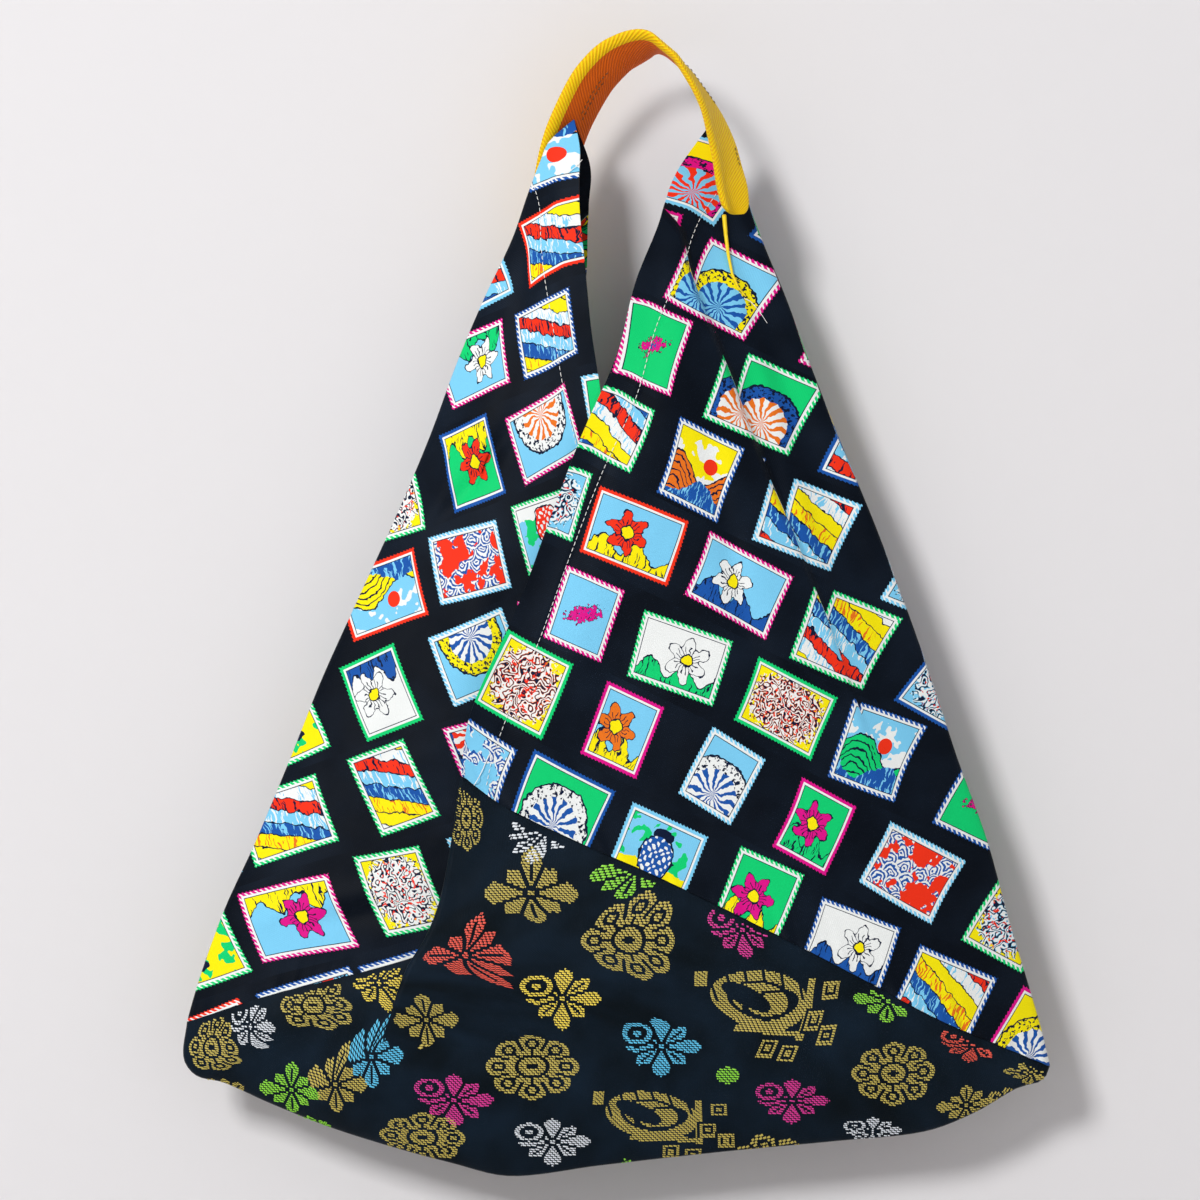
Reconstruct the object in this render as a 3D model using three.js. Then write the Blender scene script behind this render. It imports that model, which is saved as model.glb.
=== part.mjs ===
// Bento bag: three square cloths folded and sewn into a bag with two ears, hung by a strap
// that joins the ears. Millimetres, +Z up, -Y toward the viewer. The origin is the middle
// of the strap's underside, where the bag hangs.
import * as THREE from "three";

const PANEL = 460; // finished side of each square cloth
const CLOTH = 1.5; // thickness of the cloth with its turned hems
const SEAM_GAP = 0.5; // left open along each seam between two cloths
const LAP = 3.6; // spacing of the cloth's middle surfaces where one lies over another
const DEPTH = 40; // half the bag's depth at its fullest
const SIDE_STEP = 6; // how far the long side crease drops the cloth beside it
const STRAP_WIDTH = 38; // across the strap
const STRAP_THICKNESS = 4.2; // a doubled strap
const STRAP_CUP = 1.6; // how far the strap's edges curl in from its middle

const FOLD_SHARPNESS = 3.2; // a higher power keeps the faces flat nearer to a fold
const FOLD_ROUNDNESS = 0.75; // a lower power makes a rounder fold
const LAP_FADE = 0.25; // share of the cloth over which a lap closes toward its side fold
const TURN_AT = 0.33; // share of the hidden seam where the tucked cloth turns back
const TURN_SOFTNESS = 0.03;
const SIDE_CREASE_AT = 0.85; // the long side crease, as a share from the valley to the fold
const CREASE_SOFTNESS = 0.022;
const CREASE_FADES = [0.25, 0.6]; // shares up the cloth where the side crease begins and is full
const PLEAT_ENDS = [0.55, 0.72]; // shares down the base where the front pleat closes

// All tables below are shares of PANEL. "along" runs from the front valley, where the
// three cloths meet, to the far end of the edge.

// Outline of the folded cloth: height, left side fold, right side fold.
const SIDES = [
  [-0.099, -0.107, 0.09],
  [-0.129, -0.141, 0.117],
  [-0.158, -0.154, 0.126],
  [-0.202, -0.171, 0.134],
  [-0.268, -0.194, 0.157],
  [-0.353, -0.234, 0.192],
  [-0.438, -0.27, 0.223],
  [-0.551, -0.312, 0.267],
  [-0.664, -0.36, 0.314],
  [-0.777, -0.412, 0.357],
  [-0.89, -0.463, 0.397],
  [-1.003, -0.508, 0.434],
  [-1.116, -0.555, 0.475],
  [-1.229, -0.606, 0.506],
  [-1.373, -0.653, 0.549],
  [-1.435, -0.658, 0.564],
];

// Bottom fold, left to right: along, across, up.
const BOTTOM = [
  [0, -0.653, -1.373],
  [0.038, -0.658, -1.424],
  [0.06, -0.641, -1.448],
  [0.091, -0.602, -1.458],
  [0.144, -0.537, -1.487],
  [0.212, -0.452, -1.521],
  [0.279, -0.367, -1.548],
  [0.344, -0.282, -1.571],
  [0.409, -0.198, -1.59],
  [0.505, -0.071, -1.575],
  [0.633, 0.099, -1.556],
  [0.76, 0.268, -1.54],
  [0.85, 0.388, -1.527],
  [0.907, 0.459, -1.5],
  [0.959, 0.52, -1.465],
  [0.983, 0.554, -1.455],
  [1, 0.564, -1.435],
];

// Free edge of the flap, up to the right ear's tip: along, across, up.
const FLAP_EDGE = [
  [0, -0.264, -1.02],
  [0.075, -0.254, -0.946],
  [0.143, -0.23, -0.883],
  [0.26, -0.182, -0.777],
  [0.389, -0.138, -0.657],
  [0.511, -0.095, -0.544],
  [0.632, -0.047, -0.434],
  [0.738, -0.021, -0.332],
  [0.822, 0.01, -0.254],
  [0.892, 0.031, -0.188],
  [0.935, 0.052, -0.151],
  [1, 0.09, -0.099],
];

// Seam of flap and base, down to the right corner: along, across, up.
const FLAP_SEAM = [
  [0, -0.264, -1.02],
  [0.074, -0.209, -1.061],
  [0.2, -0.105, -1.112],
  [0.332, 0.007, -1.161],
  [0.527, 0.169, -1.24],
  [0.679, 0.294, -1.305],
  [0.813, 0.403, -1.364],
  [0.909, 0.484, -1.4],
  [1, 0.564, -1.435],
];

// Free edge of the tucked cloth, behind the flap and up to the left ear's tip.
const TUCK_EDGE = [
  [0, -0.264, -1.02],
  [0.1, -0.169, -0.968],
  [0.2, -0.092, -0.883],
  [0.3, -0.054, -0.777],
  [0.43, -0.052, -0.664],
  [0.53, -0.059, -0.565],
  [0.62, -0.071, -0.477],
  [0.7, -0.083, -0.397],
  [0.794, -0.092, -0.304],
  [0.865, -0.099, -0.233],
  [0.915, -0.1, -0.184],
  [0.957, -0.099, -0.141],
  [1, -0.107, -0.099],
];

// Seam of tucked cloth and base: it runs right behind the flap, turns back and comes out
// at the left.
const TUCK_SEAM = [
  [0, -0.264, -1.02],
  [0.11, -0.184, -1.052],
  [0.22, -0.103, -1.102],
  [0.33, -0.045, -1.161],
  [0.43, -0.122, -1.194],
  [0.53, -0.208, -1.229],
  [0.63, -0.301, -1.267],
  [0.68, -0.346, -1.282],
  [0.766, -0.429, -1.305],
  [0.877, -0.537, -1.333],
  [1, -0.653, -1.373],
];

// The base's pleat: where the front layer turns under, and where the hidden layer turns
// back, by the line of cloth that they cross.
const FRONT_CREASE = [
  [0, -0.264, -1.02],
  [0.1, -0.277, -1.113],
  [0.2, -0.292, -1.191],
  [0.3, -0.311, -1.243],
  [0.45, -0.34, -1.292],
  [0.6, -0.359, -1.346],
  [0.72, -0.37, -1.398],
  [1, -0.353, -1.552],
];
const BACK_CREASE = [
  [0.33, -0.045, -1.161],
  [0.45, -0.105, -1.265],
  [0.6, -0.262, -1.342],
  [0.72, -0.376, -1.398],
  [1, -0.508, -1.5],
];

// How far the left ear's back layer is drawn in below the ear, which opens the mouth:
// height, draw.
const BACK_DRAW = [
  [-0.8, 0],
  [-0.7, -0.03],
  [-0.6, -0.072],
  [-0.52, -0.1],
  [-0.48, -0.105],
  [-0.438, -0.1],
  [-0.395, -0.093],
  [-0.353, -0.083],
  [-0.311, -0.064],
  [-0.2, -0.022],
  [-0.14, -0.006],
  [-0.099, 0],
];

// The strap's middle line from the left ear's back, over the top, to the right ear's
// front: across, up, depth, then the share of its width that runs across and down the
// front view, and its pinch.
const STRAP = [
  [-0.147, -0.263, 0.046, 0.66, 0, 0.72],
  [-0.138, -0.198, 0.042, 0.74, 0, 0.86],
  [-0.12, -0.124, 0.03, 0.73, 0, 1],
  [-0.096, -0.071, 0.016, 0.73, 0.1, 1],
  [-0.073, -0.035, 0.008, 0.74, 0.14, 1],
  [-0.04, -0.006, 0.003, 0.68, 0.24, 1],
  [0.003, 0.006, 0, 0.57, 0.3, 1],
  [0.037, -0.014, -0.003, 0.38, 0.3, 1],
  [0.062, -0.047, -0.008, 0.32, 0.2, 1],
  [0.085, -0.088, -0.018, 0.35, 0.05, 1],
  [0.097, -0.124, -0.03, 0.46, 0, 0.95],
  [0.106, -0.164, -0.044, 0.55, 0, 0.86],
  [0.112, -0.198, -0.054, 0.66, 0, 0.8],
  [0.117, -0.236, -0.062, 0.66, 0, 0.66],
];

const ROWS = [
  0, 0.04, 0.09, 0.15, 0.21, 0.26, 0.29, 0.31, 0.33, 0.35, 0.37, 0.41, 0.47, 0.54, 0.62, 0.69,
  0.75, 0.79, 0.82, 0.835, 0.85, 0.865, 0.88, 0.92, 0.96, 0.985, 1,
]; // lines of cloth from a valley to a fold, closer together at turns and creases
const PANEL_COLUMNS = 15;
const HIDDEN_COLUMNS = 8; // of the base, before its crease
const SHOWN_COLUMNS = 10;
const CORNER_PULL = 1.5; // how much more a seam opens at its corner, in half gaps
const TURN_PULL = 12; // how much more it opens where it turns back, hidden in the pleat
const TURN_REACH = 0.1;
const TURN_STEP = 1.7; // a turned pleat is rounded over this far
const STRAP_STATIONS = 44;
const STRAP_ROUND = [
  [-0.5, 0.25],
  [-0.46, 0.5],
  [-0.25, 0.5],
  [0, 0.5],
  [0.25, 0.5],
  [0.46, 0.5],
  [0.5, 0.25],
]; // upper half of the strap's section, as shares of its width and thickness

const lerp = THREE.MathUtils.lerp;
const step = THREE.MathUtils.smoothstep;

// Smooth values of a table's columns at a value of its first column.
function read(table, at) {
  let i = 0;
  while (i < table.length - 2 && table[i + 1][0] < at) i++;
  const [a, b] = [table[i], table[i + 1]];
  const before = table[Math.max(i - 1, 0)];
  const after = table[Math.min(i + 2, table.length - 1)];
  const span = b[0] - a[0];
  const s = (at - a[0]) / span;
  return a.slice(1).map((value, k) => {
    const c = k + 1;
    const slopeA = (b[c] - before[c]) / (b[0] - before[0]);
    const slopeB = (after[c] - a[c]) / (after[0] - a[0]);
    const [s2, s3] = [s * s, s * s * s];
    return (
      (2 * s3 - 3 * s2 + 1) * value +
      (s3 - 2 * s2 + s) * span * slopeA +
      (3 * s2 - 2 * s3) * b[c] +
      (s3 - s2) * span * slopeB
    );
  });
}

// The same, held at the table's ends beyond them.
function readWithin(table, at) {
  return read(table, THREE.MathUtils.clamp(at, table[0][0], table[table.length - 1][0]));
}

const SIDES_UP = SIDES.slice().reverse();
const sidesAt = (up) => readWithin(SIDES_UP, up);

const TIP_UP = SIDES[0][0];
const sideFold = (side) => (t) => {
  const foot = side === 0 ? BOTTOM[0] : BOTTOM[BOTTOM.length - 1];
  const up = lerp(foot[2], TIP_UP, t);
  return [sidesAt(up)[side], up];
};
const leftFold = sideFold(0);
const rightFold = sideFold(1);
const bottomFold = (t) => read(BOTTOM, t);

// A sheet strung between a seam and a free edge, bowed out to its side fold.
function strung(seam, edge, fold, w, t) {
  const [a, b] = [read(seam, w), read(edge, w)];
  const [a1, b1, f] = [read(seam, 1), read(edge, 1), fold(t)];
  const bow = w ** 1.5;
  return [0, 1].map((k) => lerp(a[k], b[k], t) + bow * (f[k] - lerp(a1[k], b1[k], t)));
}

const flapLap = (w) => 2 * step(1 - w, 0, LAP_FADE);
const tuckLap = (w) => 1 - step(w, TURN_AT - TURN_SOFTNESS, TURN_AT + TURN_SOFTNESS);

const flap = (w, t) => [...strung(FLAP_SEAM, FLAP_EDGE, rightFold, w, t), flapLap(w)];
const tuck = (w, t) => [...strung(TUCK_SEAM, TUCK_EDGE, leftFold, w, t), tuckLap(w)];

// One line of the base cloth, left to right: the layers that the pleat hides, the crease
// where the front layer turns under, and the front.
function baseRow(w) {
  const [left, right] = [read(TUCK_SEAM, w), read(FLAP_SEAM, w)];
  const front = read(FRONT_CREASE, w);
  const lerp2 = (a, b, s) => [lerp(a[0], b[0], s), lerp(a[1], b[1], s)];
  const far = (a, b) => Math.hypot(a[0] - b[0], a[1] - b[1]);
  const back = w < TURN_AT ? left : read(BACK_CREASE, w);
  const pleat = 1 - step(w, ...PLEAT_ENDS);
  const laps = { left: tuckLap(w), under: pleat, over: 2 * pleat, right: flapLap(w) };
  const round = TURN_STEP / PANEL;
  const turnEnd = [front[0] + round * (2 * pleat - 1), front[1]];
  const turnStart = [front[0] + round, front[1]];
  const [hidden, turned] = [far(left, back), far(back, turnEnd)];
  const row = [];
  for (let i = 0; i < HIDDEN_COLUMNS; i++) {
    const walked = (i / (HIDDEN_COLUMNS - 1)) * (hidden + turned);
    if (i === 0 || walked < hidden) row.push([...lerp2(left, back, walked / hidden || 0), laps.left]);
    else row.push([...lerp2(back, turnEnd, (walked - hidden) / turned), laps.under]);
  }
  row.push([...front, (laps.under + laps.over) / 2]);
  for (let i = 0; i < SHOWN_COLUMNS; i++) {
    const s = i / (SHOWN_COLUMNS - 1);
    row.push([...lerp2(turnStart, right, s), lerp(laps.over, laps.right, s)]);
  }
  if (w < 1) return row;
  const last = row.length - 1;
  return row.map((p, i) => [...bottomFold(i / last), 0]);
}

// The back is the front turned half round, so a point keeps its distance from the side
// folds. The shift brings the turned fold onto the real one.
function turnedRound(point) {
  const [left, right] = sidesAt(point[1]);
  return [left + right - point[0], point[1], point[2]];
}

function backPoint(point, foldPoint, target, w) {
  const [p, f] = [turnedRound(point), turnedRound(foldPoint)];
  return [p[0] + w * (target[0] - f[0]), p[1] + w * (target[1] - f[1]), p[2]];
}

// The left cloth's flap lies at the back. It is drawn in most at its free edge, and not at
// all at the side fold.
function backFlap(w, t) {
  const p = backPoint(flap(w, t), flap(1, t), leftFold(t), w);
  if (w === 1) return p;
  const share = (1 - w) / (1 - w + 1 - t);
  return [p[0] + share * readWithin(BACK_DRAW, p[1])[0], p[1], p[2]];
}

const fullness = (w) => Math.max(0, 1 - w ** FOLD_SHARPNESS) ** FOLD_ROUNDNESS;

// Real position of a point given by across, up and lap.
function placed(point, w, side, drop) {
  const out = DEPTH * fullness(w) + LAP * point[2] - drop;
  return new THREE.Vector3(point[0] * PANEL, side * out, point[1] * PANEL);
}

function sideCrease(w, t) {
  const beyond = step(w, SIDE_CREASE_AT - CREASE_SOFTNESS, SIDE_CREASE_AT + CREASE_SOFTNESS);
  return SIDE_STEP * beyond * step(t, ...CREASE_FADES) * step(1 - w, 0, 0.06);
}

// Rows of a side cloth from the valley where it is tucked, round its side fold, to the
// valley where it is the flap.
function sideSheet(isLeft) {
  const tuckedSide = isLeft ? -1 : 1;
  const fold = isLeft ? leftFold : rightFold;
  const rows = [];
  const tuckAt = (w, t) => {
    const p = tuck(w, t);
    return isLeft ? p : backPoint(p, tuck(1, t), fold(t), w);
  };
  const flapAt = isLeft ? backFlap : flap;
  const columns = [...Array(PANEL_COLUMNS + 1).keys()].map((i) => i / PANEL_COLUMNS);
  ROWS.forEach((w) => rows.push(columns.map((t) => placed(tuckAt(w, t), w, tuckedSide, 0))));
  ROWS.slice(0, -1).reverse().forEach((w) =>
    rows.push(columns.map((t) => placed(flapAt(w, t), w, -tuckedSide, sideCrease(w, t)))));
  return rows;
}

function baseSheet() {
  const front = ROWS.map((w) => baseRow(w));
  const foldRow = front[front.length - 1];
  const last = foldRow.length - 1;
  const rows = front.map((row, i) => row.map((p) => placed(p, ROWS[i], -1, 0)));
  for (let i = ROWS.length - 2; i >= 0; i--) {
    const w = ROWS[i];
    rows.push(front[i].map((_, c) =>
      placed(backPoint(front[i][last - c], foldRow[last - c], foldRow[c], w), w, 1, 0)));
  }
  return rows;
}

// Draws a sheet's seam edges back by half the seam's gap, and more at the corner, where
// the cloths meet at an angle. A valley corner moves toward the cloth's middle.
function insetSeams(rows, bothEnds) {
  const last = rows.length - 1;
  const width = rows[0].length;
  const pull = (p, toward, far) => {
    const way = toward.clone().sub(p);
    if (way.length() > 2 * far) p.add(way.setLength(far));
  };
  rows.forEach((row, i) => {
    const w = ROWS[Math.min(i, last - i)];
    const turn = Math.max(0, 1 - Math.abs(w - TURN_AT) / TURN_REACH);
    const far = 0.5 * SEAM_GAP * (1 + CORNER_PULL * w ** 4 + TURN_PULL * turn);
    if (w === 0) return;
    pull(row[0], row[1], far);
    if (bothEnds) pull(row[width - 1], row[width - 2], far);
  });
  const middle = Math.floor(width / 2);
  [0, last].forEach((i) => {
    const inner = rows[i === 0 ? 1 : last - 1][middle];
    const corner = rows[i][0].clone();
    const way = inner.clone().sub(corner).setLength(SEAM_GAP);
    rows[i].forEach((p) => p.copy(corner).add(way));
  });
}

// A closed body from a sheet of points whose first and last rows are single points.
function clothBody(rows) {
  const width = rows[0].length;
  const ids = [];
  const points = [];
  rows.forEach((row, i) => {
    const pole = i === 0 || i === rows.length - 1;
    ids.push(row.map((p, c) => (pole && c > 0 ? points.length - 1 : points.push(p) - 1)));
  });
  const faces = [];
  const addFace = (a, b, c) => {
    if (a !== b && b !== c && a !== c) faces.push([a, b, c]);
  };
  for (let i = 0; i < rows.length - 1; i++)
    for (let c = 0; c < width - 1; c++) {
      const [p, q, r, s] = [ids[i][c], ids[i][c + 1], ids[i + 1][c + 1], ids[i + 1][c]];
      addFace(p, q, r);
      addFace(p, r, s);
    }
  const normals = points.map(() => new THREE.Vector3());
  faces.forEach(([a, b, c]) => {
    const ab = points[b].clone().sub(points[a]);
    const n = ab.cross(points[c].clone().sub(points[a]));
    const size = n.length();
    if (size > 0) [a, b, c].forEach((k) => normals[k].addScaledVector(n, 1 / Math.sqrt(size)));
  });
  const shifted = (k, side) =>
    points[k].clone().addScaledVector(normals[k].clone().normalize(), (side * CLOTH) / 2);
  const count = points.length;
  const all = [
    ...points.map((_, k) => shifted(k, 1)),
    ...points.map((_, k) => shifted(k, -1)),
  ];
  const index = [];
  faces.forEach(([a, b, c]) => index.push(a, b, c, c + count, b + count, a + count));
  for (let i = 0; i < rows.length - 1; i++) {
    const [a, b] = [ids[i][0], ids[i + 1][0]];
    index.push(b, a + count, a, b, b + count, a + count);
    const [d, e] = [ids[i][width - 1], ids[i + 1][width - 1]];
    index.push(e, d, d + count, e, d + count, e + count);
  }
  return bodyOf(all, index);
}

function bodyOf(points, index) {
  const geometry = new THREE.BufferGeometry();
  const flat = points.flatMap((p) => [p.x, p.y, p.z]);
  geometry.setAttribute("position", new THREE.Float32BufferAttribute(flat, 3));
  geometry.setIndex(index);
  geometry.computeVertexNormals();
  return volumeOf(flat, index) < 0 ? turnedOut(geometry) : geometry;
}

function volumeOf(flat, index) {
  let sum = 0;
  const at = (k) => new THREE.Vector3(flat[3 * k], flat[3 * k + 1], flat[3 * k + 2]);
  for (let i = 0; i < index.length; i += 3)
    sum += at(index[i]).dot(at(index[i + 1]).cross(at(index[i + 2])));
  return sum / 6;
}

function turnedOut(geometry) {
  const index = geometry.getIndex().array;
  for (let i = 0; i < index.length; i += 3) {
    const kept = index[i];
    index[i] = index[i + 1];
    index[i + 1] = kept;
  }
  geometry.computeVertexNormals();
  return geometry;
}

// The strap: a soft section carried along its middle line and closed at both ends.
function strapBody() {
  const table = [];
  let along = 0;
  STRAP.forEach((row, i) => {
    const before = STRAP[Math.max(i - 1, 0)];
    along += Math.hypot(row[0] - before[0], row[1] - before[1], row[2] - before[2]);
    table.push([along, ...row]);
  });
  const section = [
    ...STRAP_ROUND,
    ...STRAP_ROUND.slice().reverse().map(([across, through]) => [across, -through]),
  ];
  const points = [];
  const middle = (s) => {
    const [x, z, y] = read(table, s);
    return new THREE.Vector3(x * PANEL, y * PANEL, z * PANEL);
  };
  for (let i = 0; i <= STRAP_STATIONS; i++) {
    const s = (along * i) / STRAP_STATIONS;
    const [, , , across, drop, pinch] = read(table, s);
    const ahead = middle(Math.min(s + 0.004, along)).sub(middle(Math.max(s - 0.004, 0)));
    ahead.normalize();
    const wide = new THREE.Vector3(across, Math.sqrt(1 - across ** 2 - drop ** 2), -drop);
    wide.addScaledVector(ahead, -wide.dot(ahead)).normalize();
    const through = new THREE.Vector3().crossVectors(ahead, wide).normalize();
    const thick = STRAP_THICKNESS * (1 + 0.9 * (1 - pinch));
    section.forEach(([a, b]) => {
      const curl = STRAP_CUP * (4 * a * a - 0.33) * (1 + 4 * (1 - pinch));
      const p = middle(s).addScaledVector(wide, a * STRAP_WIDTH * pinch);
      points.push(p.addScaledVector(through, b * thick + curl));
    });
  }
  const ring = section.length;
  const index = [];
  for (let i = 0; i < STRAP_STATIONS; i++)
    for (let k = 0; k < ring; k++) {
      const [a, b] = [i * ring + k, i * ring + ((k + 1) % ring)];
      index.push(a, b, b + ring, a, b + ring, a + ring);
    }
  [0, STRAP_STATIONS].forEach((i) => {
    const centre = points.length;
    const sum = new THREE.Vector3();
    for (let k = 0; k < ring; k++) sum.addScaledVector(points[i * ring + k], 1 / ring);
    points.push(sum);
    for (let k = 0; k < ring; k++) {
      const [a, b] = [i * ring + k, i * ring + ((k + 1) % ring)];
      if (i === 0) index.push(centre, b, a);
      else index.push(centre, a, b);
    }
  });
  return bodyOf(points, index);
}

const printedCotton = new THREE.MeshStandardMaterial({
  color: 0x151c26,
  roughness: 0.85,
  metalness: 0,
});
const brocade = new THREE.MeshStandardMaterial({
  color: 0x101b2a,
  roughness: 0.75,
  metalness: 0,
});
const yellowWebbing = new THREE.MeshStandardMaterial({
  color: 0xffcf00,
  roughness: 0.8,
  metalness: 0,
});

function named(name, geometry, material) {
  const mesh = new THREE.Mesh(geometry, material);
  mesh.name = name;
  return mesh;
}

const leftRows = sideSheet(true);
const rightRows = sideSheet(false);
const baseRows = baseSheet();
insetSeams(leftRows, false);
insetSeams(rightRows, false);
insetSeams(baseRows, true);

const bag = new THREE.Group();
bag.name = "bento_bag";
bag.add(named("left_panel", clothBody(leftRows), printedCotton));
bag.add(named("base_panel", clothBody(baseRows), brocade));
bag.add(named("right_panel", clothBody(rightRows), printedCotton));
bag.add(named("handle", strapBody(), yellowWebbing));

export default bag;
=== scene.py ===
"""Bento bag: three square cloths folded and sewn into a bag with two ears, hung by a strap.

Metres, +Z up, -Y toward the viewer. The origin is the middle of the strap's underside.
"""

import math

import bpy
import numpy as np
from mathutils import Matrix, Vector, noise


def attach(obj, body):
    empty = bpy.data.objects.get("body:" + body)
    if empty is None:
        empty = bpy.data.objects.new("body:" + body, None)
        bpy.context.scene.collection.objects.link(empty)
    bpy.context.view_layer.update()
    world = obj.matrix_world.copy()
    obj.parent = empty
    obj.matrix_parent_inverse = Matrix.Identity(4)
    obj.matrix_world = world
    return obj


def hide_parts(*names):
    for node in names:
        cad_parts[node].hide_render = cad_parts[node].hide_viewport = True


bl_info = {
    "name": "Bento Bag",
    "version": (1, 0, 0),
    "blender": (4, 5, 0),
    "location": "View3D > Sidebar > Bento Bag",
    "description": "Builds a bag folded from three cloths, with its woven flowers, stitches and strap",
    "category": "Add Mesh",
}

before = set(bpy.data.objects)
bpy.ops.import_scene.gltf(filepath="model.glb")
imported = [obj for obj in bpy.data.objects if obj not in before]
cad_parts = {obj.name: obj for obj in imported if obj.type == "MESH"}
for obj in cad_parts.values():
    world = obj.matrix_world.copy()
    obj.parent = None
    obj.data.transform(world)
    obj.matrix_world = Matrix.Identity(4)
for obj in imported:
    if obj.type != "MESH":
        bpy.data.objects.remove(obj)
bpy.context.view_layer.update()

MM = 0.001
PANEL = 0.460  # finished side of each square cloth
CLOTH = 1.1 * MM
LAP = 3.6 * MM  # spacing of the cloth's middle surfaces where one lies over another
DEPTH = 0.040  # half the bag's depth at its fullest
SIDE_STEP = 6 * MM  # how far the long side crease drops the cloth beside it

FOLD_SHARPNESS = 3.2
FOLD_ROUNDNESS = 0.75
LAP_FADE = 0.25
TURN_AT = 0.33
TURN_SOFTNESS = 0.03
SIDE_CREASE_AT = 0.85
CREASE_SOFTNESS = 0.012
HEM_RISE = 0.7 * MM  # a turned-in hem stands this much above the cloth
FLAP_DROOP = 5.22 * MM  # how far the flap's free edge sags toward the cloth under it
PUCKER = 1.1 * MM
PUCKER_SPACING = 2.3 * MM
PUCKER_REACH = 9 * MM
SEAM_ROLL = 2.8 * MM
SEAM_ROLL_REACH = 8 * MM
HIDDEN_IN_CREASE = 0.035  # cloth folded away under the side crease
CREASE_FADES = (0.25, 0.6)
PLEAT_ENDS = (0.55, 0.72)

# The tables below are shares of PANEL. "along" runs from the front valley, where the three
# cloths meet, to the far end of the edge.

# Outline of the folded cloth, from the bottom up: height, left side fold, right side fold.
SIDES = [
    (-1.435, -0.658, 0.564),
    (-1.373, -0.653, 0.549),
    (-1.229, -0.606, 0.506),
    (-1.116, -0.555, 0.475),
    (-1.003, -0.508, 0.434),
    (-0.89, -0.463, 0.397),
    (-0.777, -0.412, 0.357),
    (-0.664, -0.36, 0.314),
    (-0.551, -0.312, 0.267),
    (-0.438, -0.27, 0.223),
    (-0.353, -0.234, 0.192),
    (-0.268, -0.194, 0.157),
    (-0.202, -0.171, 0.134),
    (-0.158, -0.154, 0.126),
    (-0.129, -0.141, 0.117),
    (-0.099, -0.107, 0.09),
]

# Bottom fold, left to right: along, across, up.
BOTTOM = [
    (0, -0.653, -1.373),
    (0.038, -0.658, -1.424),
    (0.06, -0.641, -1.448),
    (0.091, -0.602, -1.458),
    (0.144, -0.537, -1.487),
    (0.212, -0.452, -1.521),
    (0.279, -0.367, -1.548),
    (0.344, -0.282, -1.571),
    (0.409, -0.198, -1.59),
    (0.505, -0.071, -1.575),
    (0.633, 0.099, -1.556),
    (0.76, 0.268, -1.54),
    (0.85, 0.388, -1.527),
    (0.907, 0.459, -1.5),
    (0.959, 0.52, -1.465),
    (0.983, 0.554, -1.455),
    (1, 0.564, -1.435),
]

# Free edge of the flap, up to the right ear's tip: along, across, up.
FLAP_EDGE = [
    (0, -0.264, -1.02),
    (0.075, -0.254, -0.946),
    (0.143, -0.23, -0.883),
    (0.26, -0.182, -0.777),
    (0.389, -0.138, -0.657),
    (0.511, -0.095, -0.544),
    (0.632, -0.047, -0.434),
    (0.738, -0.021, -0.332),
    (0.822, 0.01, -0.254),
    (0.892, 0.031, -0.188),
    (0.935, 0.052, -0.151),
    (1, 0.09, -0.099),
]

# Seam of flap and base, down to the right corner: along, across, up.
FLAP_SEAM = [
    (0, -0.264, -1.02),
    (0.074, -0.209, -1.061),
    (0.2, -0.105, -1.112),
    (0.332, 0.007, -1.161),
    (0.527, 0.169, -1.24),
    (0.679, 0.294, -1.305),
    (0.813, 0.403, -1.364),
    (0.909, 0.484, -1.4),
    (1, 0.564, -1.435),
]

# Free edge of the tucked cloth, behind the flap and up to the left ear's tip.
TUCK_EDGE = [
    (0, -0.264, -1.02),
    (0.1, -0.169, -0.968),
    (0.2, -0.092, -0.883),
    (0.3, -0.054, -0.777),
    (0.43, -0.052, -0.664),
    (0.53, -0.059, -0.565),
    (0.62, -0.071, -0.477),
    (0.7, -0.083, -0.397),
    (0.794, -0.092, -0.304),
    (0.865, -0.099, -0.233),
    (0.915, -0.1, -0.184),
    (0.957, -0.099, -0.141),
    (1, -0.107, -0.099),
]

# Seam of tucked cloth and base: it runs right behind the flap, turns back and comes out
# at the left.
TUCK_SEAM = [
    (0, -0.264, -1.02),
    (0.11, -0.184, -1.052),
    (0.22, -0.103, -1.102),
    (0.33, -0.045, -1.161),
    (0.43, -0.122, -1.194),
    (0.53, -0.208, -1.229),
    (0.63, -0.301, -1.267),
    (0.68, -0.346, -1.282),
    (0.766, -0.429, -1.305),
    (0.877, -0.537, -1.333),
    (1, -0.653, -1.373),
]

# The base's pleat: where the front layer turns under, and where the hidden layer turns
# back, by the line of cloth that they cross.
FRONT_CREASE = [
    (0, -0.264, -1.02),
    (0.1, -0.277, -1.113),
    (0.2, -0.292, -1.191),
    (0.3, -0.311, -1.243),
    (0.45, -0.34, -1.292),
    (0.6, -0.359, -1.346),
    (0.72, -0.37, -1.398),
    (1, -0.353, -1.552),
]
BACK_CREASE = [
    (0.33, -0.045, -1.161),
    (0.45, -0.105, -1.265),
    (0.6, -0.262, -1.342),
    (0.72, -0.376, -1.398),
    (1, -0.508, -1.5),
]

# How far the left ear's back layer is drawn in below the ear: height, draw.
BACK_DRAW = [
    (-0.8, 0),
    (-0.7, -0.03),
    (-0.6, -0.072),
    (-0.52, -0.1),
    (-0.48, -0.105),
    (-0.438, -0.1),
    (-0.395, -0.093),
    (-0.353, -0.083),
    (-0.311, -0.064),
    (-0.2, -0.022),
    (-0.14, -0.006),
    (-0.099, 0),
]

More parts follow.
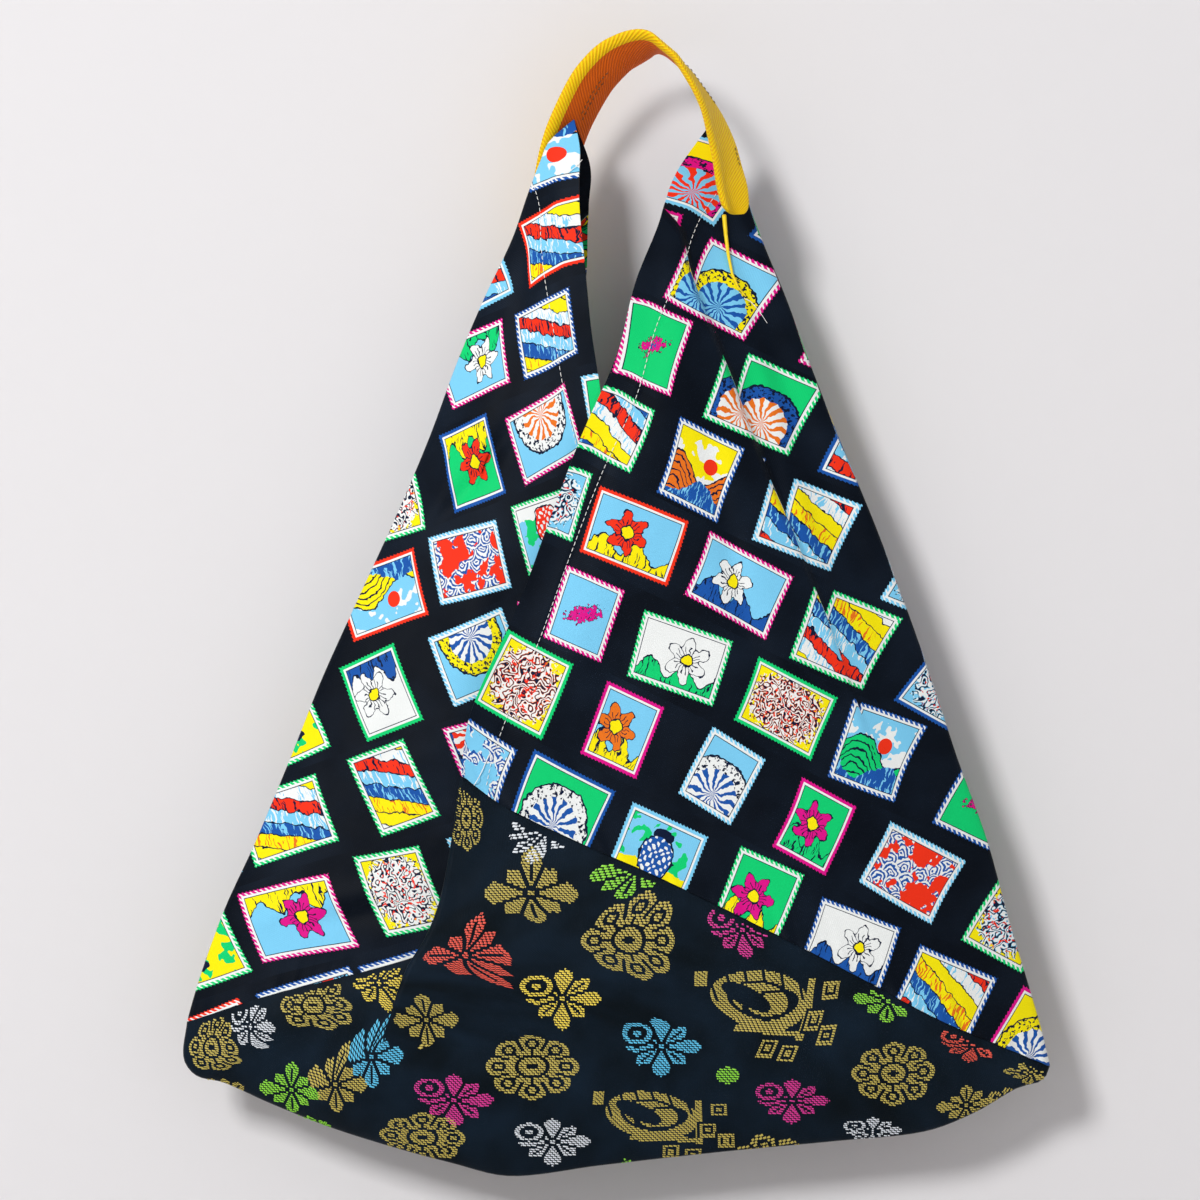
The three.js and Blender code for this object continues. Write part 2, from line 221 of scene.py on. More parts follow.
# The strap's middle line from the left ear's back, over the top, to the right ear's front:
# across, up, depth, the share of its width that runs across, the share that drops, pinch.
STRAP = [
    (-0.147, -0.263, 0.046, 0.66, 0, 0.72),
    (-0.138, -0.198, 0.042, 0.74, 0, 0.86),
    (-0.12, -0.124, 0.03, 0.73, 0, 1),
    (-0.096, -0.071, 0.016, 0.73, 0.1, 1),
    (-0.073, -0.035, 0.008, 0.74, 0.14, 1),
    (-0.04, -0.006, 0.003, 0.68, 0.24, 1),
    (0.003, 0.006, 0, 0.57, 0.3, 1),
    (0.037, -0.014, -0.003, 0.38, 0.3, 1),
    (0.062, -0.047, -0.008, 0.32, 0.2, 1),
    (0.085, -0.088, -0.018, 0.35, 0.05, 1),
    (0.097, -0.124, -0.03, 0.46, 0, 0.95),
    (0.106, -0.164, -0.044, 0.55, 0, 0.86),
    (0.112, -0.198, -0.054, 0.66, 0, 0.8),
    (0.117, -0.236, -0.062, 0.66, 0, 0.66),
]
STRAP_WIDTH = 0.038
STRAP_THICKNESS = 4.0 * MM
STRAP_CUP = 1.6 * MM
SELVEDGE = 0.2  # share of the strap's width that its thick yellow front edge takes
SELVEDGE_ROLL = 0.7 * MM
END_ROUND = 9 * MM
TWILL_SLANT = 0.9
TWILL_RISE = 0.12 * MM

# Folds of the hung cloth in millimetres: side (-1 front, 1 back), height, half width, then
# the points across and up that the fold runs through. A negative height is a valley.
FOLDS = [
    (-1, 2.6, 7, [(40, -105), (58, -165), (80, -235), (102, -320), (128, -403), (146, -455)]),
    (-1, -2.2, 9, [(30, -200), (44, -290), (62, -380), (80, -450)]),
    (-1, -3.4, 6, [(-86, -240), (-106, -272), (-140, -312)]),
    (-1, 2.4, 12, [(-100, -225), (-122, -262), (-160, -318)]),
    (-1, 2.0, 9, [(-225, -556), (-186, -549), (-140, -538)]),
    (-1, -2.2, 7, [(-230, -570), (-190, -560), (-146, -550)]),
    (-1, 2.2, 8, [(-288, -574), (-262, -569), (-236, -561)]),
    (-1, -1.8, 12, [(-150, -400), (-170, -470), (-180, -530)]),
    (-1, 2.4, 14, [(-95, -300), (-120, -390), (-128, -470)]),
    (-1, -2.0, 9, [(-82, -110), (-84, -170), (-78, -230)]),
    (-1, 1.8, 16, [(-30, -330), (-60, -430), (-78, -500)]),
    (-1, 1.6, 14, [(120, -500), (60, -480), (-20, -455)]),
    (-1, -1.6, 12, [(200, -560), (130, -530), (60, -510)]),
    (-1, 1.8, 18, [(-190, -690), (-100, -670), (30, -680)]),
    (-1, -1.8, 14, [(-215, -640), (-160, -652), (-120, -700)]),
    (-1, 1.6, 12, [(150, -400), (175, -470), (205, -560)]),
    (1, 3.0, 10, [(-70, -130), (-58, -210), (-60, -300), (-75, -380)]),
    (1, -2.8, 9, [(-80, -130), (-82, -210), (-92, -300), (-112, -390)]),
    (1, 2.4, 12, [(40, -120), (52, -220), (80, -330), (110, -430)]),
    (1, -2.2, 14, [(-20, -380), (-60, -470), (-100, -540)]),
    (1, 2.0, 16, [(100, -520), (10, -560), (-90, -610)]),
    (1, -1.8, 14, [(-150, -470), (-190, -560), (-230, -610)]),
    (1, 1.8, 18, [(160, -640), (60, -660), (-60, -690)]),
]

# Soft waves of the cloth in millimetres: height, size across, size up, seeds in front and behind.
WAVES = [
    (2.0, 70, 110, -3, 3),
    (1.0, 26, 38, 4, 6),
    (0.28, 9, 12, 8, 10),
]

# Woven flowers on the front of the base in millimetres: form, colour, across, up, width,
# height.
FLOWERS = [
    ("leaf_star", "gold", -80, -544, 60, 50),
    ("leaf_star", "red", -117, -588, 55, 48),
    ("curled_star", "yellow", -58, -616, 53, 42),
    ("rosette", "gold", -12, -578, 62, 55),
    ("rosette", "gold", -79, -660, 62, 44),
    ("curled_star", "blue", 6, -647, 53, 42),
    ("bud", "lime", 50, -666, 17, 13),
    ("curled_star", "magenta", -127, -683, 54, 38),
    ("curled_star", "white", -62, -711, 51, 36),
    ("rosette", "gold", -146, -709, 58, 38),
    ("paisley", "gold", 78, -624, 96, 64),
    ("paisley", "gold", 8, -698, 94, 56),
    ("curled_star", "white", -62, -506, 44, 36),
    ("leaf_star", "lime", -7, -533, 46, 36),
    ("curled_star", "magenta", 62, -570, 46, 38),
    ("leaf_star", "lime", 152, -618, 44, 36),
    ("curled_star", "red", 211, -647, 44, 34),
    ("rosette", "gold", 158, -666, 56, 46),
    ("curled_star", "magenta", 90, -684, 50, 34),
    ("leaf_star", "gold", 206, -687, 40, 30),
    ("leaf_star", "gold", 250, -665, 34, 26),
    ("curled_star", "white", 146, -705, 40, 24),
    ("rosette", "gold", -288, -648, 34, 42),
    ("curled_star", "white", -262, -634, 32, 40),
    ("rosette", "gold", -221, -620, 46, 40),
    ("curled_star", "yellow", -177, -607, 42, 40),
    ("leaf_star", "blue", -178, -655, 42, 44),
    ("leaf_star", "gold", -143, -630, 42, 42),
    ("leaf_star", "lime", -234, -678, 42, 38),
    ("leaf_star", "gold", -204, -673, 42, 42),
    ("rosette", "gold", -121, -500, 22, 46),
]
FLOAT_PITCH = 2.8 * MM  # one raised thread to the next, along the weft
FLOAT_ROWS = 1.45 * MM
FLOAT_WIDTH = 1.15 * MM
FLOAT_RISE = 0.55 * MM
FLOAT_GAP = 0.35 * MM
FLOAT_FINE = 0.2 * MM  # step at which a flower's shape is followed along a row
FLOAT_LEAST = 0.9 * MM  # a shorter raised thread is left out
FLOAT_SLANT = 0.2  # how far a raised thread drops along its length

ROWS = 116  # lines of cloth from a valley to a fold
COLUMNS = 118
HEM = 0.021  # the free edge is turned in this far
EAR_HEM = 0.031
STITCH = 3.0 * MM
STITCH_GAP = 1.1 * MM
THREAD = 0.5 * MM


def read(table, at):
    """Smooth values of a table's other columns at values of its first column."""
    table = np.asarray(table, float)
    keys = table[:, 0]
    at = np.clip(np.asarray(at, float), keys[0], keys[-1])
    i = np.clip(np.searchsorted(keys, at, side="right") - 1, 0, len(keys) - 2)
    before = np.maximum(i - 1, 0)
    after = np.minimum(i + 2, len(keys) - 1)
    span = (keys[i + 1] - keys[i])[..., None]
    s = (at - keys[i])[..., None] / span
    a = table[i, 1:]
    b = table[i + 1, 1:]
    slope_a = (b - table[before, 1:]) / (keys[i + 1] - keys[before])[..., None]
    slope_b = (table[after, 1:] - a) / (keys[after] - keys[i])[..., None]
    held = (2 * s**3 - 3 * s**2 + 1) * a + (3 * s**2 - 2 * s**3) * b
    return held + span * ((s**3 - 2 * s**2 + s) * slope_a + (s**3 - s**2) * slope_b)


def smooth(value, low, high):
    """0 below low, 1 above high, and a smooth rise between them."""
    s = np.clip((value - low) / (high - low), 0, 1)
    return s * s * (3 - 2 * s)


def mix(a, b, share):
    return a + (b - a) * share


def side_fold(side, t):
    """The left (0) or right (1) side fold, from the bottom corner to the ear's tip."""
    foot = BOTTOM[0][2] if side == 0 else BOTTOM[-1][2]
    up = mix(foot, SIDES[-1][0], t)
    return np.stack([read(SIDES, up)[..., side], up], -1)


def strung(seam, edge, side, w, t):
    """A sheet strung between a seam and a free edge, bowed out to its side fold."""
    t2 = t[..., None]
    taut = mix(read(seam, w), read(edge, w), t2)
    ends = mix(read(seam, np.ones_like(w)), read(edge, np.ones_like(w)), t2)
    return taut + (w**1.5)[..., None] * (side_fold(side, t) - ends)


def flap_lap(w):
    return 2 * smooth(1 - w, 0, LAP_FADE)


def tuck_lap(w):
    return 1 - smooth(w, TURN_AT - TURN_SOFTNESS, TURN_AT + TURN_SOFTNESS)


def turned_round(points):
    """The back is the front turned half round, so a point keeps its distance from the folds."""
    sides = read(SIDES, points[..., 1])
    across = sides[..., 0] + sides[..., 1] - points[..., 0]
    return np.stack([across, points[..., 1]], -1)


def back_points(points, fold_points, target, w):
    return turned_round(points) + w[..., None] * (target - turned_round(fold_points))


def fold_relief(across, up, side):
    """Height of the folds and soft waves of the cloth at places of the front or the back."""
    x = across * 1000
    z = up * 1000
    relief = np.zeros_like(x)
    for fold_side, height, half_width, points in FOLDS:
        if fold_side != side:
            continue
        nearest = np.full_like(x, 1e9)
        share = np.zeros_like(x)
        for k in range(len(points) - 1):
            a = np.array(points[k], float)
            way = np.array(points[k + 1], float) - a
            s = np.clip(((x - a[0]) * way[0] + (z - a[1]) * way[1]) / (way @ way), 0, 1)
            far = np.hypot(x - a[0] - s * way[0], z - a[1] - s * way[1])
            closer = far < nearest
            nearest = np.where(closer, far, nearest)
            share = np.where(closer, (k + s) / (len(points) - 1), share)
        fade = np.sin(np.pi * np.clip(share, 0.04, 0.96)) ** 0.7
        relief += height * fade * np.exp(-((nearest / half_width) ** 2))
    waves = np.zeros(x.size)
    for height, across_size, up_size, front_seed, back_seed in WAVES:
        seed = front_seed if side < 0 else back_seed
        waves += [height * noise.noise(Vector((a / across_size, b / up_size, seed)))
                  for a, b in zip(x.ravel(), z.ravel())]
    return (relief + waves.reshape(x.shape)) * MM


def placed(points, lap, w, side, rise=0.0):
    """Real places of points given by across and up, with the cloth's fullness and folds."""
    across = points[..., 0] * PANEL
    up = points[..., 1] * PANEL
    full = np.clip(1 - w**FOLD_SHARPNESS, 0, 1) ** FOLD_ROUNDNESS
    calm = smooth(1 - w, 0, 0.09)
    out = DEPTH * full + LAP * lap + calm * fold_relief(across, up, side) + rise
    return np.stack([across, side * out, up], -1)


def toward_fold(rows, power):
    """Shares of the way from a valley to a fold, closer together at the fold."""
    return 0.004 + 0.996 * (1 - (1 - np.linspace(0, 1, rows)) ** power)


def side_sheet(is_left, rows=ROWS, columns=COLUMNS):
    """Grid of a printed cloth from the valley where it is tucked, round its side fold, to the
    valley where it is the flap, with each point's place in the flat cloth."""
    near_crease = SIDE_CREASE_AT + np.array([-0.012, -0.006, -0.001, 0.001, 0.006, 0.012])
    w1 = np.sort(np.concatenate([toward_fold(rows, 1.35), near_crease]))
    t1 = np.linspace(0, 1, columns)
    w, t = np.meshgrid(w1, t1, indexing="ij")
    side = 0 if is_left else 1
    tucked_side = -1 if is_left else 1
    fold = side_fold(side, t)
    ones = np.ones_like(w)

    tuck = strung(TUCK_SEAM, TUCK_EDGE, side if is_left else 0, w, t)
    if not is_left:
        tuck = back_points(tuck, strung(TUCK_SEAM, TUCK_EDGE, 0, ones, t), fold, w)
    flap = strung(FLAP_SEAM, FLAP_EDGE, 1, w, t)
    if is_left:
        flap = back_points(flap, strung(FLAP_SEAM, FLAP_EDGE, 1, ones, t), fold, w)
        share = (1 - w) / (1 - w + 1 - t + 1e-6)
        flap[..., 0] += share * read(BACK_DRAW, flap[..., 1])[..., 0]

    to_edge = w * (1 - t) * PANEL
    to_seam = w * t * PANEL
    beyond = smooth(w, SIDE_CREASE_AT - CREASE_SOFTNESS, SIDE_CREASE_AT + CREASE_SOFTNESS)
    crease = beyond * smooth(t, *CREASE_FADES) * smooth(1 - w, 0, 0.06)
    hem = EAR_HEM if is_left else HEM
    turned_in = HEM_RISE * (1 - smooth(to_edge, HEM - MM, HEM + MM))
    ear_turned_in = HEM_RISE * (1 - smooth(to_edge, hem - MM, hem + MM))
    droop = FLAP_DROOP * (1 - smooth(to_edge, 4 * MM, 50 * MM)) * smooth(w, 0.06, 0.24)
    droop = droop * (1 - smooth(w, 0.72, 0.9))
    gathers = np.sin(w * PANEL / PUCKER_SPACING + 3 * np.sin(w * 31))
    pucker = PUCKER * np.exp(-to_seam / PUCKER_REACH) * gathers
    seam_roll = SEAM_ROLL * np.exp(-((to_seam / SEAM_ROLL_REACH) ** 2))

    tuck_at = placed(tuck, tuck_lap(w), w, tucked_side, 0.6 * pucker + ear_turned_in)
    flap_rise = pucker + seam_roll + turned_in - droop - SIDE_STEP * crease
    flap_at = placed(flap, flap_lap(w), w, -tucked_side, flap_rise)
    grid = np.concatenate([tuck_at, flap_at[::-1][1:]])
    slip = HIDDEN_IN_CREASE * (w > SIDE_CREASE_AT) * smooth(t, *CREASE_FADES)
    alpha = np.concatenate([w * (1 - t), (1 - w * t)[::-1][1:]])
    beta = np.concatenate([w * t, (1 - w * (1 - t) + slip)[::-1][1:]])
    return grid, alpha, beta


# Of every 18 columns of the base cloth, those in the layers that the pleat hides, those round
# the crease in front, and those of the front that shows.
HIDDEN_COLUMNS = 7
CREASE_COLUMNS = 2
FRONT_COLUMNS = 9
ALL_COLUMNS = HIDDEN_COLUMNS + CREASE_COLUMNS + FRONT_COLUMNS


def base_line(w, columns):
    """One line of the base cloth, left to right: the layers that the pleat hides, the crease
    where the front layer turns under, and the front. Returns places, laps and shares."""
    left, right, front = (read(table, w) for table in (TUCK_SEAM, FLAP_SEAM, FRONT_CREASE))
    back = left if w < TURN_AT else read(BACK_CREASE, w)
    pleat = 1 - smooth(w, *PLEAT_ENDS)
    turn = 1.7 * MM / PANEL
    turn_end = front + np.array([turn * (2 * pleat - 1), 0])
    turn_start = front + np.array([turn, 0])
    hidden = np.hypot(*(left - back)) + 1e-6
    turned = np.hypot(*(back - turn_end)) + 1e-6
    i = np.linspace(0, 1, columns) * ALL_COLUMNS
    walked = np.clip(i / HIDDEN_COLUMNS, 0, 1) * (hidden + turned)
    first = mix(left, back, np.clip(walked / hidden, 0, 1)[:, None])
    second = mix(back, turn_end, np.clip((walked - hidden) / turned, 0, 1)[:, None])
    points = np.where((walked < hidden)[:, None], first, second)
    soft = min(0.014, 0.5 * hidden)
    laps = mix(tuck_lap(w), pleat, smooth(walked, hidden - soft, hidden + 0.014))
    near = np.clip(i - HIDDEN_COLUMNS, 0, CREASE_COLUMNS)
    around = np.where((near < 1)[:, None], mix(turn_end, front, near[:, None]),
                      mix(front, turn_start, near[:, None] - 1))
    points = np.where((i > HIDDEN_COLUMNS)[:, None], around, points)
    laps = np.where(i > HIDDEN_COLUMNS, mix(pleat, 2 * pleat, near / CREASE_COLUMNS), laps)
    past = i - HIDDEN_COLUMNS - CREASE_COLUMNS
    s = np.clip(past / FRONT_COLUMNS, 0, 1)
    points = np.where((past > 0)[:, None], mix(turn_start, right, s[:, None]), points)
    laps = np.where(past > 0, mix(2 * pleat, flap_lap(w), s), laps)
    return points, laps


def base_sheet(rows=ROWS, columns=132):
    """Grid of the base cloth from its front valley round the bottom fold to its back valley."""
    w1 = toward_fold(rows, 1.3)
    lines = [base_line(w, columns) for w in w1]
    points = np.array([line[0] for line in lines])
    laps = np.array([line[1] for line in lines])
    c = np.linspace(0, 1, columns)
    along = np.interp(c, [0, 0.211, HIDDEN_COLUMNS / ALL_COLUMNS, 0.5, 1], [0, 0.167, 0.287, 0.293, 1])
    foot = read(BOTTOM, along)
    points = points + (w1**4)[:, None, None] * (foot - points[-1])
    steps = np.hypot(*np.moveaxis(np.diff(points, axis=1), -1, 0))
    share = np.concatenate([np.zeros((rows, 1)), np.cumsum(steps, 1)], 1)
    share = share / share[:, -1:]
    w = np.repeat(w1[:, None], columns, 1)
    front = placed(points, laps, w, -1)
    turned = back_points(points[:, ::-1], np.repeat(foot[None, ::-1], rows, 0), foot, w)
    back = placed(turned, laps[:, ::-1], w, 1)
    back_share = 1 - share[:, ::-1]
    back_share = back_share + w * (share[-1] - (1 - share[-1][::-1]))
    grid = np.concatenate([front, back[::-1][1:]])
    alpha = np.concatenate([w * (1 - share), (1 - w * back_share)[::-1][1:]])
    beta = np.concatenate([w * share, (1 - w * (1 - back_share))[::-1][1:]])
    return grid, alpha, beta


def normals_of(grid):
    """Unit normals of a grid of points, from the ways along its rows and columns."""
    down = np.gradient(grid, axis=0)
    across = np.gradient(grid, axis=1)
    normal = np.cross(down, across)
    size = np.linalg.norm(normal, axis=-1, keepdims=True)
    return normal / np.maximum(size, 1e-12)


def outward(grid):
    """Unit normals that point out of the bag: toward -Y in front, +Y behind."""
    normal = normals_of(grid)
    quarter = grid.shape[0] // 4
    middle = grid.shape[1] // 2
    agrees = normal[quarter, middle, 1] * grid[quarter, middle, 1]
    return normal if agrees > 0 else -normal


def mesh_piece(name, points, faces, material, rides="root"):
    """A shown mesh of the bag that moves with its only body."""
    mesh = bpy.data.meshes.new(name)
    mesh.from_pydata(np.asarray(points).reshape(-1, 3).tolist(), [], faces)
    mesh.polygons.foreach_set("use_smooth", [True] * len(mesh.polygons))
    mesh.materials.append(material)
    piece = bpy.data.objects.new(name, mesh)
    bpy.context.scene.collection.objects.link(piece)
    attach(piece, rides)
    return piece


def grid_faces(rows, columns, start=0, closed=False, flip=False):
    faces = []
    for i in range(rows - 1):
        for k in range(columns if closed else columns - 1):
            a = start + i * columns + k
            b = start + i * columns + (k + 1) % columns
            face = (a, b, b + columns, a + columns)
            faces.append(face[::-1] if flip else face)
    return faces


def rim_of(rows, columns):
    """Pairs of neighbouring points, once round the edge of a grid."""
    rim = [i * columns for i in range(rows)]
    rim += [(rows - 1) * columns + k for k in range(1, columns)]
    rim += [i * columns + columns - 1 for i in range(rows - 2, -1, -1)]
    rim += [k for k in range(columns - 2, 0, -1)]
    return list(zip(rim, rim[1:] + rim[:1]))


def lay_flat(piece, name, places):
    """Gives a piece a UV map that holds the flat place of each of its points."""
    mesh = piece.data
    corner = np.zeros(len(mesh.loops), int)
    mesh.loops.foreach_get("vertex_index", corner)
    mesh.uv_layers.new(name=name).data.foreach_set("uv", places[corner].ravel())


def cloth_piece(name, grid, flat, material):
    """A closed cloth of two faces and its turned edge, with its flat place as a UV map."""
    rows, columns = grid.shape[:2]
    count = rows * columns
    way = outward(grid) * CLOTH / 2
    points = np.concatenate([(grid + way).reshape(-1, 3), (grid - way).reshape(-1, 3)])
    normal = normals_of(grid)
    same = np.sum(normal[rows // 4, columns // 2] * way[rows // 4, columns // 2]) > 0
    faces = grid_faces(rows, columns, 0, flip=not same)
    faces += grid_faces(rows, columns, count, flip=same)
    shown = len(faces)
    for a, b in rim_of(rows, columns):
        face = (a, b, b + count, a + count)
        faces.append(face if same else face[::-1])
    piece = mesh_piece(name, points, faces, material)
    mesh = piece.data
    edges = set()
    for face in mesh.polygons[shown:]:
        edges.update(mesh.loops[k].edge_index for k in face.loop_indices)
    for k in edges:
        mesh.edges[k].use_edge_sharp = True
    places = np.stack([part.ravel() for part in flat], -1)
    lay_flat(piece, "flat_cloth", np.concatenate([places, places]))
    return piece


def linear(colour):
    """An sRGB hex colour as linear values with alpha."""
    parts = [int(colour[k:k + 2], 16) / 255 for k in (1, 3, 5)]
    low = [p / 12.92 for p in parts]
    high = [((p + 0.055) / 1.055) ** 2.4 for p in parts]
    return tuple(a if p <= 0.04045 else b for p, a, b in zip(parts, low, high)) + (1.0,)


def add(tree, kind, *inputs, **settings):
    """Adds a node with its settings, and sets or links its inputs in order."""
    node = tree.nodes.new("ShaderNode" + kind)
    named = settings.pop("named", {})
    for key, value in settings.items():
        setattr(node, key, value)
    for key, value in [*enumerate(inputs), *named.items()]:
        if value is None:
            continue
        if isinstance(value, str):
            value = linear(value)
        if isinstance(value, bpy.types.Node):
            value = value.outputs[0]
        if isinstance(value, bpy.types.NodeSocket):
            tree.links.new(value, node.inputs[key])
        else:
            node.inputs[key].default_value = value
    return node


def work_out(tree, known, steps):
    """Works through a list of (result, step, inputs...). A step is maths on named values, or
    PICK, which takes one of some colours by a value from 0 to 1, or OVER, which lays the last
    colour over the one before where a share is 1."""
    for name, step, *inputs in steps:
        given = [known.get(value, value) if isinstance(value, str) else value for value in inputs]
        if step == "PICK":
            ramp = add(tree, "ValToRGB", given[0])
            ramp.color_ramp.interpolation = "CONSTANT"
            stops = ramp.color_ramp.elements
            while len(stops) < len(given) - 1:
                stops.new(0.5)
            for k, colour in enumerate(given[1:]):
                stops[k].position = k / (len(given) - 1)
                stops[k].color = linear(colour)
            known[name] = ramp.outputs[0]
        elif step == "OVER":
            skipped = [None] * 5
            laid = add(tree, "Mix", given[0], *skipped, *given[1:], data_type="RGBA", clamp_factor=True)
            known[name] = laid.outputs[2]
        else:
            known[name] = add(tree, "Math", *given, operation=step).outputs[0]
    return known


SOCKETS = {"roughness": "Roughness", "specular_ior_level": "Specular IOR Level"}


def surface(name, sheen=0.0, **sockets):
    """A material with one plain surface shader, and its node tree."""
    material = bpy.data.materials.new(name)
    material.use_nodes = True
    tree = material.node_tree
    shader = tree.nodes["Principled BSDF"]
    shader.inputs["Sheen Weight"].default_value = sheen
    for key, value in sockets.items():
        shader.inputs[SOCKETS[key]].default_value = value
    return material, tree, shader


NAVY = "#060D17"
# Painted sheen: the lighter navy of the printed ground's soft, broad patches.
PAINTED_SHEEN_NAVY = "#111B28"
WHITE = "#ECEFED"
SKY = "#7CCBEF"
GREEN = "#10CE72"
YELLOW = "#F8E80C"
RED = "#F0341A"
BLUE = "#1C55A6"
ORANGE = "#E87420"
MAGENTA = "#DC1488"
INK = "#0E1A36"
BROCADE_DARK = "#030D14"
# Lighter brocade: real rubbed threads in fine flecks, and painted sheen in broad soft patches.
BROCADE_RUBBED_AND_SHEEN = "#112232"
# Painted shade: darker colours for the grooves between the strap's twill ribs, on its yellow outside and on
# its inside, which is itself painted orange as shade.
STRAP_GROOVE_SHADE = "#F0A800"
SHADED_GROOVE = "#C84E04"
HEM_WHITE = "#F4F4F0"
SEAM_BROWN = "#5A3A12"
WALL_GREY = "#E2E0E1"
SKY_WHITE = "#F4F3F4"


# The print's sizes in millimetres. Borders are measured in from a card's edge.
CARD_HALF_WIDTH = 31.0
CARD_HALF_HEIGHT = 22.5
BORDER = 2.6
WHITE_LINE = 4.0
INK_LINE = 4.5
NOTCH = 2.6
DASH = 3.6
ROW_SLIDE = 17.3  # each row of cards starts this much further along than the last
PETALS = 6.0
FAR_BACK = 1000.0  # keeps places above zero, where FLOOR and MODULO count evenly

# The print is a list of steps for work_out. Chances from 0 to 1 that each card draws once are
# a0 to c2; px and py are places on the card, hx and hy the same with the drawing's waver, and
# nx and ny the same as shares of the card's half width and height.
# A card of its own size, place and slant, with its notched edge, dashed border and rings.
CARD_FRAME = [
    ("upright", "GREATER_THAN", "a0", 0.6),
    ("half_x", "MULTIPLY_ADD", "upright", -8.0, CARD_HALF_WIDTH),
    ("grow", "MULTIPLY_ADD", "a1", 4.0, -2.0),
    ("half_x", "ADD", "half_x", "grow"),
    ("half_y", "MULTIPLY_ADD", "upright", 3.0, CARD_HALF_HEIGHT),
    ("half_y", "MULTIPLY_ADD", "grow", 0.5, "half_y"),
    ("shift_x", "MULTIPLY_ADD", "a2", 8.0, -4.0),
    ("shift_y", "MULTIPLY_ADD", "b0", 3.0, -1.5),
    ("lx", "ADD", "lx", "shift_x"),
    ("ly", "ADD", "ly", "shift_y"),
    ("tilt", "MULTIPLY_ADD", "b1", 0.2, -0.1),
    ("tilt_back", "MULTIPLY", "tilt", -1.0),
    ("px", "MULTIPLY_ADD", "ly", "tilt", "lx"),
    ("py", "MULTIPLY_ADD", "lx", "tilt_back", "ly"),
    ("ax", "ABSOLUTE", "px"),
    ("ay", "ABSOLUTE", "py"),
    ("dx", "SUBTRACT", "ax", "half_x"),
    ("dy", "SUBTRACT", "ay", "half_y"),
    ("d", "MAXIMUM", "dx", "dy"),
    ("diagonal", "ADD", "px", "py"),
    ("tooth", "MULTIPLY", "diagonal", math.pi / NOTCH),
    ("tooth", "SINE", "tooth"),
    ("tooth", "ABSOLUTE", "tooth"),
    ("edge", "MULTIPLY_ADD", "tooth", 0.8, "d"),
    ("card", "LESS_THAN", "edge", 0.0),
    ("inside_border", "LESS_THAN", "d", -BORDER),
    ("field", "LESS_THAN", "d", -WHITE_LINE),
    ("line", "LESS_THAN", "d", -INK_LINE),
    ("dash", "MULTIPLY", "diagonal", 2 * math.pi / DASH),
    ("dash", "SINE", "dash"),
    ("dash", "GREATER_THAN", "dash", 0.35),
    ("dash_band", "LESS_THAN", "d", -1.0),
    ("dash", "MULTIPLY", "dash", "dash_band"),
    ("dashed", "GREATER_THAN", "c0", 0.35),
    ("dash", "MULTIPLY", "dash", "dashed"),
    ("turn", "MULTIPLY", "c0", 6.28),
]
# Flower with veined petals, over a saw-edged bed of leaves.
FLOWER = [
    ("fx", "MULTIPLY_ADD", "c1", -14.0, "hx"),
    ("fx", "ADD", "fx", 7.0),
    ("angle", "ARCTAN2", "hy", "fx"),
    ("far", "MULTIPLY_ADD", "fx", "fx", "hy2"),
    ("far", "SQRT", "far"),
    ("petal", "MULTIPLY_ADD", "angle", PETALS, "turn"),
    ("petal", "COSINE", "petal"),
    ("petal", "MULTIPLY_ADD", "petal", 3.2, 11.5),
    ("petal_gap", "SUBTRACT", "far", "petal"),
    ("in_petal", "LESS_THAN", "petal_gap", 0.0),
    ("in_outline", "LESS_THAN", "petal_gap", 0.9),
    ("in_eye", "LESS_THAN", "far", 3.9),
    ("eye_line", "LESS_THAN", "far", 4.8),
    ("vein", "MULTIPLY", "angle", 3 * PETALS),
    ("vein", "SINE", "vein"),
    ("vein", "GREATER_THAN", "vein", 0.72),
    ("vein_near", "LESS_THAN", "far", 9.0),
    ("vein", "MULTIPLY", "vein", "vein_near"),
    ("leaf_wave", "MULTIPLY", "nx", 8.0),
    ("leaf_wave", "SINE", "leaf_wave"),
    ("leaf_top", "MULTIPLY_ADD", "leaf_wave", 0.24, -0.42),
    ("in_leaf", "LESS_THAN", "ny", "leaf_top"),
    ("leaf_line", "ADD", "leaf_top", 0.05),
    ("leaf_line", "LESS_THAN", "ny", "leaf_line"),
    ("leaf_stroke", "GREATER_THAN", "strokes", 0.6),
    ("leaf_stroke", "MULTIPLY", "leaf_stroke", "in_leaf"),
    ("flower", "PICK", "c1", SKY, GREEN, YELLOW, WHITE),
    ("flower_low", "PICK", "b0", BLUE, YELLOW, GREEN),
    ("petals", "PICK", "c2", MAGENTA, RED, WHITE, ORANGE),
    ("flower", "OVER", "leaf_line", "flower", INK),
    ("flower", "OVER", "in_leaf", "flower", "flower_low"),
    ("flower", "OVER", "leaf_stroke", "flower", INK),
    ("flower", "OVER", "in_outline", "flower", INK),
    ("flower", "OVER", "in_petal", "flower", "petals"),
    ("flower", "OVER", "vein", "flower", INK),
    ("flower", "OVER", "eye_line", "flower", INK),
    ("flower", "OVER", "in_eye", "flower", YELLOW),
]
